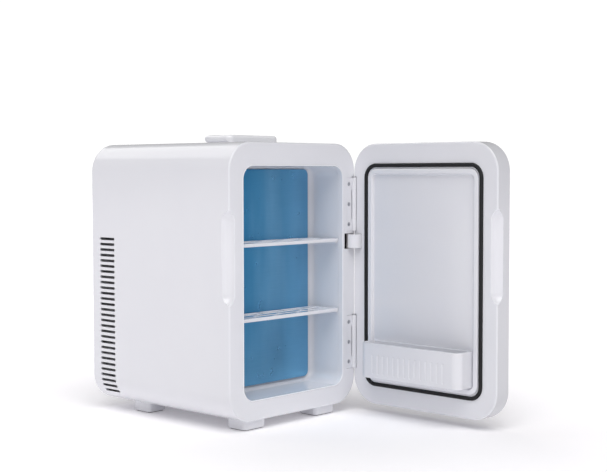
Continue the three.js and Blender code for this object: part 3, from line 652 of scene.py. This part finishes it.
def cabinetShell():
    edge, wall = shell["frontEdge"], shell["wall"]
    high = (bodyHigh.x, shellRear, bodyHigh.z)
    whole = roundedBlock(bodyLow, high, "y", shell["radius"], shell["corner"], edge, shell["rearEdge"])
    inLow = bodyLow + Vector((wall, wall, wall))
    inHigh = (bodyHigh.x - wall, shellRear + 5, bodyHigh.z - wall)
    hollow = roundedBlock(inLow, inHigh, "y", shell["radius"] - wall, shell["corner"], edge)
    collarLow = mouthLow - Vector((mouth["wall"], 1, mouth["wall"]))
    collarHigh = mouthHigh + Vector((mouth["wall"], mouth["collar"], mouth["wall"]))
    collar = roundedBlock(collarLow, collarHigh, "y", mouth["radius"] + mouth["wall"], 12)
    ribHigh = (bodyHigh.x - 1, hingeRib["deep"], hingeRib["top"])
    rib = roundedBlock((hingeRib["left"], 0, hingeRib["bottom"]), ribHigh)
    hollow = combine(hollow, [collar, rib, gripGroove(grip["wall"])])
    # the hollow's faces take the painted shade
    for face in hollow.faces:
        face.material_index = 1
    throughLow, throughHigh = mouthLow - Vector((0, 5, 0)), mouthHigh + Vector((0, 30, 0))
    opening = roundedBlock(throughLow, throughHigh, "y", mouth["radius"], 12)
    made = combine(whole, [hollow, opening])
    grown = Vector((flange["wide"], 0, flange["wide"]))
    seatHigh = Vector((mouthHigh.x, flange["deep"], mouthHigh.z)) + grown
    seat = roundedBlock(throughLow - grown, seatHigh, "y", mouth["radius"] + flange["wide"], 12)
    tools = [seat, gripGroove(), ventCutter()]
    for level in hingeLevels:
        low, high = cabinetBox("hinge_leaf_" + level)
        gap = leafPocket["gap"]
        pocket = roundedBlock((low.x - gap, -1, low.z - gap), (hingeX, leafPocket["deep"], high.z + gap))
        tools += [pocket, knuckleGroove(level)]
    stayLow, stayHigh = doorBox("door_stay")
    side = stayLook["gap"]
    reach = hingeX - stayLow.x + side
    slotLow = (hingeX - reach, -1, stayLow.z - side)
    slotHigh = (bodyHigh.x - wall - 0.3, hingeY + reach, stayHigh.z + side)
    tools.append(roundedBlock(slotLow, slotHigh, "y", 0.8, 3))
    made = combine(made, tools)

    easeGrip(made, lambda spot: spot.y < 1 or spot.x < bodyLow.x + 1)
    stands = ["outer_shell", "front_frame"]
    makePiece("cabinetShell", made, cabinetPlace, "cabinet", "white_gloss", stands, extras=(insideShadeLook,))


def innerLiner():
    low = Vector((mouthLow.x, linerLow.y, mouthLow.z))
    high = Vector((mouthHigh.x, linerHigh.y - tray["wall"], mouthHigh.z))
    grown = Vector((tray["wall"], 0, tray["wall"]))
    outHigh = high + grown + Vector((0, tray["wall"], 0))
    outside = roundedBlock(low - grown, outHigh, "y", tray["round"], 12, 0, tray["rearEdge"], 6)
    inLow = low - Vector((0, 20, 0))
    hollow = roundedBlock(inLow, high, "y", mouth["radius"], 12, 0, tray["fillet"], tray["fold"])
    shape = combine(outside, [hollow])
    runners = []
    for level in hingeLevels:
        top = cabinetBox("shelf_" + level)[1].z - runner["under"]
        for side in (-1, 1):
            ends = sorted((side * runner["inner"], side * (high.x + 0.5)))
            block = ((ends[0], runner["front"], top - runner["thick"]), (ends[1], runner["rear"], top))
            runners.append(roundedBlock(*block, "y", runner["edge"], 3, 0.8, 0.8, 3))
    wide = Vector((flange["wide"], 0, flange["wide"]))
    lipLow = Vector((mouthLow.x, -flange["deep"], mouthLow.z)) - wide
    lipHigh = Vector((mouthHigh.x, flange["proud"], mouthHigh.z)) + wide
    lip = ring(lipLow, lipHigh, mouth["radius"] + flange["wide"], flange["wide"], 12, flange["edge"], 5)
    lip = copied(lip, [Matrix.Scale(-1, 4, (0, 1, 0))])
    # the lip bead takes the painted highlight white
    for face in lip.faces:
        face.material_index = 1
    onCabinet("innerLiner", together(shape, lip, *runners), "white_satin", "inner_liner", extras=(highlightLook,))


def coldPlate():
    low, high = cabinetBox("cold_plate")
    plate = roundedBlock(low, high, "y", 8, 8, 0.7, 0, 3)
    onCabinet("coldPlate", plate, "blue_film", "cold_plate")


footLook = {"corner": 6, "sole": 1.6, "rise": 2.5, "draft": 0.985}  # a foot narrows towards the floor
padLook = {"corner": 3, "gap": 0.3, "edge": 0.4}


def feet():
    for side in ("left", "right"):
        for end in ("front", "rear"):
            low, high = cabinetBox(f"foot_{end}_{side}")
            top = Vector((high.x, high.y, high.z + footLook["rise"]))
            block = roundedBlock(low, top, "z", footLook["corner"], 8, footLook["sole"], 0, 4)
            middle = (low + high) / 2
            for vertex in block.verts:
                if vertex.co.z < middle.z:
                    vertex.co.x = middle.x + (vertex.co.x - middle.x) * footLook["draft"]
                    vertex.co.y = middle.y + (vertex.co.y - middle.y) * footLook["draft"]
            low, high = cabinetBox(f"foot_pad_{end}_{side}")
            corner, gap = padLook["corner"], padLook["gap"]
            seat = (low - Vector((gap, gap, 1)), high + Vector((gap, gap, 0.2)))
            block = combine(block, [roundedBlock(*seat, "z", corner + gap, 6)])
            onCabinet(f"foot.{end}.{side}", block, "white_satin", f"foot_{end}_{side}")
            pad = roundedBlock(low, high, "z", corner, 6, padLook["edge"], 0, 3)
            onCabinet(f"footPad.{end}.{side}", pad, "black_rubber", f"foot_pad_{end}_{side}")


cabinetShell()
innerLiner()
coldPlate()
feet()
print("cabinet made")

# hinges and the door's stay
leafSize = {"thick": 1.8, "knuckle": 16.4, "radius": 3.2, "bore": 1.5}
leafScrew = {"x": 107.8, "offsets": (-27.3, 0, 27.7), "hole": 1.7, "seat": 2.9, "head": 2.5}
hingePin = {"radius": 1.15, "head": 2.4, "thick": 1.2}


def cabinetLeaf(level):
    low, high = cabinetBox("hinge_leaf_" + level)
    middle = (low.z + high.z) / 2
    top = high.y
    flat = roundedBlock((low.x, top - leafSize["thick"], low.z), (hingeX, top, high.z), "y", 0.8, 3)
    free = (high.z - low.z) / 2 - leafSize["knuckle"] + 0.3
    notch = roundedBlock((hingeX - 3.8, -9, middle - free), (hingeX + 9, 9, middle + free))
    knuckles = []
    for start, end in ((low.z, low.z + leafSize["knuckle"]), (high.z - leafSize["knuckle"], high.z)):
        knuckles.append(bar("z", leafSize["radius"], start, end, (hingeX, hingeY, 0), 32, 0.3, 0.3))
    shape = combine(flat, [notch])
    shape = combine(shape, knuckles, "UNION")
    holes = [bar("z", leafSize["bore"], low.z - 1, high.z + 1, (hingeX, hingeY, 0), 24)]
    for offset in leafScrew["offsets"]:
        centre = (leafScrew["x"], 0, middle + offset)
        holes.append(bar("y", leafScrew["hole"], -9, 9, centre, 20))
        holes.append(bar("y", leafScrew["seat"], -9, 1.3, centre, 28))
    shape = combine(shape, holes)
    onCabinet(f"hingeLeaf.{level}", shape, "white_satin", f"hinge_leaf_{level}", soften=0.15)
    return middle


# a pan head with a cross recess, its shank pointing to +y
def crossHead(radius, thick, length):
    head = bar("y", radius, 0, thick, (0, 0, 0), 28, thick * 0.55)
    shank = bar("y", 1.25, thick * 0.5, length, (0, 0, 0), 16, 0, 0, 0.5)
    long, half, deep = radius * 0.55, 0.32, thick * 0.62
    arms = [roundedBlock((-x, -1, -z), (x, deep, z)) for x, z in ((long, half), (half, long))]
    return together(combine(head, arms), shank)


def hingeSet(level):
    middle = cabinetLeaf(level)
    low, high = cabinetBox("hinge_pin_" + level)
    thick = hingePin["thick"]
    pin = bar("z", hingePin["radius"], low.z, high.z - thick / 2, (hingeX, hingeY, 0), 20, 0.3)
    head = bar("z", hingePin["head"], high.z - thick, high.z, (hingeX, hingeY, 0), 28, 0.1, 0.5)
    onCabinet(f"hingePin.{level}", together(pin, head), "steel", f"hinge_pin_{level}")
    for number, offset in enumerate(leafScrew["offsets"], 1):
        screw = crossHead(leafScrew["head"], 0.9, 8.5)
        node = f"hinge_screw_{level}_{number}"
        centre = Matrix.Translation((leafScrew["x"], cabinetBox(node)[0].y, middle + offset))
        move = centre @ Matrix.Rotation(number * 0.7, 4, "Y")
        bmesh.ops.transform(screw, matrix=move, verts=screw.verts)
        onCabinet(f"hingeScrew.{level}.{number}", screw, "steel", node)


def doorLeaf(level):
    low, high = doorBox("door_hinge_leaf_" + level)
    free = (high.z - low.z) / 2 - leafSize["knuckle"]
    middle = (low.z + high.z) / 2
    right = doorHigh.x - 0.1
    left = right - leafSize["thick"]
    clear = hingeY - leafSize["radius"] - 0.6
    flat = roundedBlock((left, low.y, low.z), (right, clear, high.z), "x", 0.8, 3)
    tongue = roundedBlock((left, hingeY - 8, middle - free), (right, hingeY, middle + free))
    knuckle = bar("z", leafSize["radius"], middle - free, middle + free, (hingeX, hingeY, 0), 32, 0.3, 0.3)
    shape = combine(flat, [tongue, knuckle], "UNION")
    shape = combine(shape, [bar("z", leafSize["bore"], low.z - 1, high.z + 1, (hingeX, hingeY, 0), 24)])
    onDoor(f"doorHingeLeaf.{level}", shape, "white_satin", f"door_hinge_leaf_{level}", soften=0.15)


def doorStay():
    low, high = doorBox("door_stay")
    outer = stayLook["outer"]
    inner = outer - stayLook["thick"]
    mesh = bmesh.new()
    outline = ((inner, low.z), (outer, low.z), (outer, high.z), (inner, high.z))
    section = [mesh.verts.new((hingeX - radius, hingeY, z)) for radius, z in outline]
    face = mesh.faces.new(section)
    settings = {"cent": (hingeX, hingeY, 0), "axis": (0, 0, 1), "angle": -math.pi / 2}
    geometry = [face, *face.edges, *face.verts]
    bmesh.ops.spin(mesh, geom=geometry, use_duplicate=False, steps=stayLook["steps"], **settings)
    bmesh.ops.recalc_face_normals(mesh, faces=mesh.faces)
    left, right = hingeX - outer, hingeX - inner
    tab = roundedBlock((left, low.y, low.z), (right, hingeY + 0.01, high.z))
    shape = combine(mesh, [tab], "UNION")
    onDoor("doorStay", shape, "white_satin", "door_stay", smooth=40, soften=stayLook["edge"])


for level in hingeLevels:
    hingeSet(level)
    doorLeaf(level)
doorStay()
print("hinges and stay made")

# door
doorLook = {"radius": 38, "corner": 20, "wall": 2.5, "outerEdge": 4.0, "innerEdge": 2.0, "parting": -8}
rim = {
    "radius": 14, "width": 8, "proud": 2.5, "edge": 2.2, "recess": 1.5,
    "bottom": 31.3, "top": 321.3, "half": 92,
}
seal = {"gap": 0.3, "groove": 1.5, "width": 4.8, "radius": 19, "crown": 1.6}
lugSize = {"x": 66, "bottom": 60, "top": 75.6, "head": 12, "stem": 5, "reach": 4.2, "headThick": 1.4}


def doorCase():
    low = Vector((doorLow.x, doorOuter, doorLow.z))
    high = Vector((doorHigh.x, -3, doorHigh.z))
    edges = (doorLook["outerEdge"], doorLook["innerEdge"])
    whole = roundedBlock(low, high, "y", doorLook["radius"], doorLook["corner"], *edges)
    ringLow = (-rim["half"], high.y - 1, rim["bottom"])
    ringHigh = (rim["half"], high.y + rim["proud"], rim["top"])
    frameRing = ring(ringLow, ringHigh, rim["radius"], rim["width"], 10, rim["edge"], 4)
    whole = combine(whole, [frameRing], "UNION")
    wall = doorLook["wall"]
    grown = Vector((wall, wall, wall))
    inHigh = high - grown - Vector((0, 0.8, 0))
    hollow = roundedBlock(low + grown, inHigh, "y", doorLook["radius"] - wall, 12)
    keep = [gripGroove(grip["wall"])]
    seats = []
    for level in hingeLevels:
        leafLow, leafHigh = doorBox("door_hinge_leaf_" + level)
        seatLow = Vector((doorHigh.x - 2.2, leafLow.y - 0.3, leafLow.z - 0.3))
        seatHigh = Vector((doorHigh.x + 8, 0, leafHigh.z + 0.3))
        keep.append(roundedBlock(seatLow - grown, seatHigh + grown))
        seats += [roundedBlock(seatLow, seatHigh), knuckleGroove(level)]
    hollow = combine(hollow, keep)
    recessLow = (-rim["half"] + rim["width"], high.y - rim["recess"], rim["bottom"] + rim["width"])
    recessHigh = (rim["half"] - rim["width"], high.y + 8, rim["top"] - rim["width"])
    recess = roundedBlock(recessLow, recessHigh, "y", rim["radius"] - rim["width"], 8, 0.8, 0, 3)
    sealLow, sealHigh = doorBox("door_gasket")
    gap = seal["gap"]
    grooveLow = (sealLow.x - gap, high.y - seal["groove"] - gap, sealLow.z - gap)
    grooveHigh = (sealHigh.x + gap, high.y + 8, sealHigh.z + gap)
    groove = ring(grooveLow, grooveHigh, seal["radius"] + gap, seal["width"] + 2 * gap)
    stayLow, stayHigh = doorBox("door_stay")
    left, right = hingeX - stayLook["outer"] - 0.3, hingeX - stayLook["outer"] + stayLook["thick"] + 0.3
    slot = roundedBlock((left, -9, stayLow.z - 0.3), (right, 1, stayHigh.z + 0.3))
    made = combine(whole, [hollow, recess, groove, gripGroove(), *seats, slot])

    easeGrip(made, lambda spot: spot.y > -4.5 or spot.x < doorLow.x + 1)
    # faces on the outer side of the parting, outside the grip, take the painted shade
    for face in made.faces:
        spot = face.calc_center_median()
        inGrip = math.hypot(spot.x - grip["x"], spot.y - grip["y"]) < grip["radius"] + 0.1
        flush = spot.x < doorLow.x + 0.5
        if spot.y < doorLook["parting"] and (flush or not inGrip):
            face.material_index = 1
    lugs = []
    face = high.y - rim["recess"]
    for side in (-1, 1):
        x, end = side * lugSize["x"], face + lugSize["reach"]
        stem, head = lugSize["stem"] / 2, lugSize["head"] / 2
        bottom, top = lugSize["bottom"], lugSize["top"]
        lugs.append(roundedBlock((x - stem, face - 0.5, bottom), (x + stem, end - 0.5, top)))
        block = ((x - head, end - lugSize["headThick"], bottom), (x + head, end, top))
        lugs.append(roundedBlock(*block, "y", 1.2, 3, 0.3, 0.3, 2))
    stands = ["door_shell", "door_liner"]
    whole = together(made, *lugs)
    makePiece("doorCase", whole, doorPlace, "door", "white_gloss", stands, extras=(doorShadeLook,))


def doorSeal():
    low, high = doorBox("door_gasket")
    shape = ring(low, high, seal["radius"], seal["width"], 12, seal["crown"], 5)
    onDoor("doorSeal", shape, "black_rubber", "door_gasket")


binLook = {"corner": 11, "wall": 2, "slots": 14, "pitch": 9}
flute = {"wide": 3.4, "bottom": 47, "top": 73, "deep": 0.55, "round": 1.6}


def doorBin():
    low, high = doorBox("door_bin")
    wall, corner = binLook["wall"], binLook["corner"]

    def frontCorner(middle):
        return middle.y > (low.y + high.y) / 2

    outside = roundedBlock(low, high, "z", corner, 10, 1.2, 0, 3, frontCorner)
    inLow, inHigh = low + Vector((wall, wall, wall)), high + Vector((-wall, -wall, 8))
    inside = roundedBlock(inLow, inHigh, "z", corner - wall, 10, 1.0, 0, 3, frontCorner)
    half = flute["wide"] / 2
    ends = ((-half, high.y - flute["deep"], flute["bottom"]), (half, high.y + 5, flute["top"]))
    slot = roundedBlock(*ends, "y", flute["round"], 5)
    first = -(binLook["slots"] - 1) / 2 * binLook["pitch"]
    steps = [first + number * binLook["pitch"] for number in range(binLook["slots"])]
    slots = copied(slot, [Matrix.Translation((step, 0, 0)) for step in steps])
    keyways = []
    half = lugSize["stem"] / 2 + 0.3
    for x in (-lugSize["x"], lugSize["x"]):
        keyHigh = (x + half, low.y + wall + 3.6, lugSize["top"] + 0.3)
        keyways.append(roundedBlock((x - half, low.y - 1, low.z - 1), keyHigh))
    shape = combine(outside, [inside, slots, *keyways])
    makePiece("doorBin", shape, doorPlace, "bin", "white_satin", ["door_bin"], soften=0.45)


doorCase()
doorSeal()
doorBin()
print("door made")

# shelves
shelfLook = {
    "corner": 4,
    "thick": 3,
    "web": 0.95,  # the thin middle, and the rims left thick round it
    "side": 6,
    "front": 4,
    "rear": 3,
    "lip": 2.5,  # the fold under the front edge, and how far it stops short of the sides
    "short": 4,
}
shelfSlots = {
    "rows": 3, "most": 4, "first": 10.2, "long": 36, "wide": 11.2,
    "round": 2.6, "pitchX": 41, "pitchY": 14.6,
}


def shelfTray(level):
    low, high = cabinetBox("shelf_" + level)
    top = high.z
    plate = roundedBlock((low.x, low.y, top - shelfLook["thick"]), high, "z", shelfLook["corner"], 6)
    lipLow = (low.x + shelfLook["short"], low.y, low.z)
    lipHigh = (high.x - shelfLook["short"], low.y + shelfLook["lip"], top - 0.01)
    lip = roundedBlock(lipLow, lipHigh, "x", 0.9, 3)
    slots = []
    half, deep = shelfSlots["long"] / 2, shelfSlots["wide"] / 2
    for row in range(shelfSlots["rows"]):
        count = shelfSlots["most"] - (row + 1) % 2
        y = low.y + shelfSlots["first"] + row * shelfSlots["pitchY"]
        for number in range(count):
            x = (number - (count - 1) / 2) * shelfSlots["pitchX"]
            corners = ((x - half, y - deep, top - 9), (x + half, y + deep, top + 9))
            slots.append(roundedBlock(*corners, "z", shelfSlots["round"], 3))
    shape = combine(plate, [lip], "UNION")
    hollowLow = (low.x + shelfLook["side"], low.y + shelfLook["front"], low.z - 5)
    hollowHigh = (high.x - shelfLook["side"], high.y - shelfLook["rear"], top - shelfLook["web"])
    shape = combine(shape, [roundedBlock(hollowLow, hollowHigh), together(*slots)])
    stands = [f"shelf_{level}"]
    makePiece(f"shelf.{level}", shape, cabinetPlace, f"{level}_shelf", "white_satin", stands, soften=0.35)


for level in hingeLevels:
    shelfTray(level)
print("shelves made")

# carry handle
handleLook = {"arm": 14, "corner": 9, "edge": 1.0, "end": 3.8, "nose": 4.5, "pivotRound": 5, "pinBore": 2.6}


def carryHandle():
    low, high = cabinetBox("carry_handle")
    pivotY = high.y - handleLook["pivotRound"]
    middle = (low.z + high.z) / 2

    def frontCorner(spot):
        return spot.y < (low.y + high.y) / 2

    flatHigh = (high.x, pivotY, high.z)
    flat = roundedBlock(low, flatHigh, "z", handleLook["corner"], 8, 0, handleLook["nose"], 6, frontCorner)
    ends = bar("x", handleLook["pivotRound"], low.x, high.x, (0, pivotY, middle), 40)
    arm = handleLook["arm"]
    inLow, inHigh = (low.x + arm, low.y + arm, low.z - 2), (high.x - arm, high.y + 8, high.z + 2)
    hole = roundedBlock(inLow, inHigh, "z", 4, 6, 0, 0, 4, frontCorner)
    bore = bar("x", handleLook["pinBore"], low.x + 5, high.x - 5, (0, pivotY, middle), 24)
    shape = combine(flat, [ends], "UNION")
    shape = combine(shape, [hole, bore])
    shape = combine(shape, [roundedBlock(low, high, "y", handleLook["end"], 8)], "INTERSECT")
    settings = {"stands": ["carry_handle"], "soften": handleLook["edge"], "softSegments": 4}
    piece = makePiece("carryHandle", shape, cabinetPlace, "handle", "white_satin", **settings)
    # the handle takes the painted highlight white in place of its satin white
    piece.data.materials[0] = highlightLook


def handleFittings():
    for side in ("left", "right"):
        low, high = cabinetBox("handle_lug_" + side)
        post = roundedBlock(low - Vector((0, 0, 1)), high, "x", 3, 6)
        pinLow, pinHigh = cabinetBox("handle_pin_" + side)
        y, z = (pinLow.y + pinHigh.y) / 2, (pinLow.z + pinHigh.z) / 2
        start, end = (low.x - 1, high.x - 2) if side == "left" else (low.x + 2, high.x + 1)
        post = combine(post, [bar("x", handleLook["pinBore"], start, end, (0, y, z), 24)])
        onCabinet(f"handleLug.{side}", post, "white_satin", f"handle_lug_{side}", soften=0.6)
        pin = bar("x", (pinHigh.z - pinLow.z) / 2, pinLow.x, pinHigh.x, (0, y, z), 24, 0.3, 0.3)
        onCabinet(f"handlePin.{side}", pin, "steel", f"handle_pin_{side}")


carryHandle()
handleFittings()
print("handle made")

# rear: cover, fan, inlets and switch
grille = {"rows": 5, "pitch": 7.5, "half": 2.2, "web": 1.5, "bore": 42, "round": 1.8}
coverLook = {"corner": 35.2, "edge": 1.0, "socket": 7}
throughCover = (250, 290)  # from inside the cover to behind it, for what cuts it
coverScrews = {"x": 94, "low": 29, "high": 326, "hole": 1.7, "head": 3}
coverLow, coverHigh = cabinetBox("rear_cover")
fanLow, fanHigh = cabinetBox("fan_housing")
fanZ = (fanLow.z + fanHigh.z) / 2


def boxCutter(node, shrink):
    low, high = cabinetBox(node)
    start, end = throughCover
    ends = ((low.x + shrink, start, low.z + shrink), (high.x - shrink, end, high.z - shrink))
    return roundedBlock(*ends, "y", 1, 3)


def rearCover():
    cover = roundedBlock(coverLow, coverHigh, "y", coverLook["corner"], 20, 0, coverLook["edge"], 3)
    slots = []
    for row in range(-grille["rows"], grille["rows"] + 1):
        z = fanZ + row * grille["pitch"]
        half = math.sqrt(grille["bore"] ** 2 - (row * grille["pitch"]) ** 2) - 1
        for start, end in ((-half, -grille["web"]), (grille["web"], half)):
            ends = ((start, throughCover[0], z - grille["half"]), (end, throughCover[1], z + grille["half"]))
            slots.append(roundedBlock(*ends, "y", grille["round"], 4))
    holes = []
    for x in (-coverScrews["x"], coverScrews["x"]):
        for z in (coverScrews["low"], coverScrews["high"]):
            holes.append(bar("y", coverScrews["hole"], *throughCover, (x, 0, z), 16))
    socketLow, socketHigh = cabinetBox("dc_socket")
    holes.append(bar("y", coverLook["socket"], *throughCover, (socketLow + socketHigh) / 2, 32))
    holes += [boxCutter("mains_inlet", 1.5), boxCutter("switch_housing", 1.2)]
    shape = combine(cover, [together(*slots), *holes])
    onCabinet("rearCover", shape, "white_satin", "rear_cover", soften=0.3)
    for side in ("left", "right"):
        for level in ("low", "high"):
            node = f"cover_screw_{level}_{side}"
            low, high = cabinetBox(node)
            screw = crossHead(coverScrews["head"], 0.9, 14)
            centre = Vector(((low.x + high.x) / 2, high.y, (low.z + high.z) / 2))
            turn = Matrix.Rotation(math.pi, 4, "Z") @ Matrix.Rotation(0.6 if side == "left" else 1.3, 4, "Y")
            bmesh.ops.transform(screw, matrix=Matrix.Translation(centre) @ turn, verts=screw.verts)
            onCabinet(f"coverScrew.{level}.{side}", screw, "steel", node)


fanLook = {
    "bore": 42, "hub": 15, "blades": 7, "reach": 39, "twist": 24, "pitch": 38,
    "struts": 4, "strutHalf": 1.5, "thick": 1.1, "spindle": 1.6, "behind": 3.4,
}


def fanUnit():
    housing = roundedBlock(fanLow, fanHigh, "y", 6, 6, 0.6, 0.6, 3)
    shape = combine(housing, [bar("y", fanLook["bore"], fanLow.y - 5, fanHigh.y + 5, (0, 0, fanZ), 64)])
    disc = bar("y", fanLook["hub"], fanHigh.y - 5, fanHigh.y - 1, (0, 0, fanZ), 40, 0, 0.6)
    struts = []
    half = fanLook["strutHalf"]
    for number in range(fanLook["struts"]):
        ends = ((-half, fanHigh.y - 5, 5), (half, fanHigh.y - 1, fanLook["bore"] + 1.5))
        strut = roundedBlock(*ends, "y", 0.8, 3)
        turn = Matrix.Translation((0, 0, fanZ)) @ Matrix.Rotation(math.radians(45 + 90 * number), 4, "Y")
        bmesh.ops.transform(strut, matrix=turn, verts=strut.verts)
        struts.append(strut)
    whole = combine(shape, [disc, *struts], "UNION")
    whole = combine(whole, [bar("y", 2, fanLow.y - 5, fanHigh.y - 2.5, (0, 0, fanZ), 24)])
    onCabinet("fanHousing", whole, "black_plastic", "fan_housing")
    rotorLow, rotorHigh = cabinetBox("fan_rotor")
    rear = rotorHigh.y
    hubRear = rear - fanLook["behind"]
    hub = bar("y", fanLook["hub"], rotorLow.y + 0.5, hubRear, (0, 0, 0), 40, 1.2, 0.3)
    spindle = bar("y", fanLook["spindle"], rear - 5, rear, (0, 0, 0), 20, 0, 0.3)
    blades = []
    for number in range(fanLook["blades"]):
        blade = bmesh.new()
        bmesh.ops.create_grid(blade, x_segments=8, y_segments=8, size=1)
        for vertex in blade.verts:
            across, out = vertex.co.x, (vertex.co.y + 1) / 2
            radius = fanLook["hub"] - 1.5 + out * (fanLook["reach"] - fanLook["hub"] + 1.5)
            lean = math.radians(fanLook["pitch"] + fanLook["twist"] * (0.4 - out))
            wide = 6.5 + 2.5 * out
            camber = 1.1 * (1 - across * across)
            angle = across * wide * math.cos(lean) / radius + 0.25 * out
            depth = across * wide * math.sin(lean) + camber
            vertex.co = (radius * math.sin(angle), depth, radius * math.cos(angle))
        bmesh.ops.recalc_face_normals(blade, faces=blade.faces)
        bmesh.ops.solidify(blade, geom=blade.faces, thickness=fanLook["thick"])
        turn = Matrix.Rotation(math.radians(number * 360 / fanLook["blades"]), 4, "Y")
        move = Matrix.Translation((0, (rotorLow.y + hubRear) / 2, 0)) @ turn
        bmesh.ops.transform(blade, matrix=move, verts=blade.verts)
        blades.append(blade)
    rotor = together(hub, spindle, *blades)
    bmesh.ops.translate(rotor, vec=(0, 0, fanZ), verts=rotor.verts)
    makePiece("fanRotor", rotor, cabinetPlace, "fan", "black_plastic", ["fan_rotor"])


inletLook = {"flange": 2, "corner": 3, "lip": 1.8, "pin": 1.1, "spread": 3.5, "setBack": 4.3}


def inletAndSocket():
    low, high = cabinetBox("mains_inlet")
    rear = high.y
    flangeLow = (low.x, rear - inletLook["flange"], low.z)
    flange = roundedBlock(flangeLow, high, "y", inletLook["corner"], 6, 0, 0.6, 3)
    step = Vector((inletLook["lip"], 0, inletLook["lip"]))
    barrel = roundedBlock(low + step, (high - step) - Vector((0, 1, 0)), "y", 2, 5)
    inner = step * 2
    recess = roundedBlock(low + inner + Vector((0, 6, 0)), high - inner + Vector((0, 5, 0)), "y", 2.2, 5)
    shape = combine(combine(flange, [barrel], "UNION"), [recess])
    middle = (low + high) / 2
    pins = []
    for x in (middle.x - inletLook["spread"], middle.x + inletLook["spread"]):
        ends = (low.y + 5, rear - inletLook["setBack"])
        pins.append(bar("y", inletLook["pin"], *ends, (x, 0, middle.z), 16, 0, 0.4))
    onCabinet("mainsInlet", together(shape, *pins), "black_plastic", "mains_inlet", soften=0.2)
    low, high = cabinetBox("dc_socket")
    middle = (low + high) / 2
    radius = (high.x - low.x) / 2
    flange = bar("y", radius, high.y - inletLook["flange"], high.y, middle, 40, 0, 0.5)
    barrel = bar("y", radius - inletLook["lip"], low.y, high.y - 1, middle, 40)
    recess = bar("y", radius - 3.3, low.y + 6, high.y + 5, middle, 40)
    shape = combine(combine(flange, [barrel], "UNION"), [recess])
    pin = bar("y", inletLook["pin"], low.y + 5, high.y - inletLook["setBack"], middle, 16, 0, 0.4)
    onCabinet("dcSocket", together(shape, pin), "black_plastic", "dc_socket", soften=0.2)


rockerJoint = next(joint for joint in frame["joints"] if joint["name"] == "switch_tilt")
rockerAt = cabinetPlace.inverted() @ Vector(rockerJoint["pos_m"])
rockerLook = {"wide": 12, "half": 10, "dip": 1.6, "bore": 1.5, "axle": 1.15}


def rockerSwitch():
    low, high = cabinetBox("switch_housing")
    flange = roundedBlock((low.x, high.y - 1.5, low.z), high, "y", 2, 5, 0, 0.5, 3)
    box = roundedBlock((low.x + 1.5, low.y, low.z + 1.5), (high.x - 1.5, high.y - 0.8, high.z - 1.5))
    half = rockerLook["wide"] / 2 + 0.3
    ends = ((rockerAt.x - half, low.y + 4, low.z + 3), (rockerAt.x + half, high.y + 5, high.z - 3))
    pocket = roundedBlock(*ends, "y", 0.6, 3)
    bore = bar("x", rockerLook["bore"], rockerAt.x - 7.2, rockerAt.x + 7.2, rockerAt, 20)
    shape = combine(combine(flange, [box], "UNION"), [pocket, bore])
    onCabinet("switchHousing", shape, "black_plastic", "switch_housing")
    low, high = cabinetBox("switch_rocker")
    mesh = bmesh.new()
    face, half, wide = high.y - rockerAt.y, rockerLook["half"], rockerLook["wide"]
    outline = [(face, -half), (face - rockerLook["dip"], 0), (face, half)]
    outline += [(-1, half - 2.5), (-4, 3), (-4, -3), (-1, 2.5 - half)]  # round the back
    side = mesh.faces.new([mesh.verts.new((-wide / 2, y, z)) for y, z in outline])
    pushed = bmesh.ops.extrude_face_region(mesh, geom=[side])
    bmesh.ops.translate(mesh, vec=(wide, 0, 0), verts=vertsOf(pushed))
    bmesh.ops.recalc_face_normals(mesh, faces=mesh.faces)
    mark = bar("x", 0.35, -2.2, 2.2, (0, face - 0.5, 6.2), 12)
    lever = combine(mesh, [bar("x", rockerLook["axle"], -7, 7, (0, 0, 0), 20)], "UNION")
    lever = combine(lever, [mark])
    bmesh.ops.translate(lever, vec=rockerAt, verts=lever.verts)
    makePiece("switchRocker", lever, cabinetPlace, "rocker", "grey_plastic", ["switch_rocker"], soften=0.35)


rearCover()
fanUnit()
inletAndSocket()
rockerSwitch()
print("rear made")

# CAD nodes that stay: the sealed pieces inside
carried = {
    "foam_insulation": "foam",
    "door_foam": "foam",
    "cold_block": "bare_aluminium",
    "heat_sink": "bare_aluminium",
    "peltier_module": "white_ceramic",
    "control_board": "board_green",
    "catch_plate": "steel",
    "door_magnet": "black_plastic",
}
for name, slot in carried.items():
    node = frame["nodes"][name]
    node.data.materials.clear()
    node.data.materials.append(looks[slot])
print("carried nodes finished")
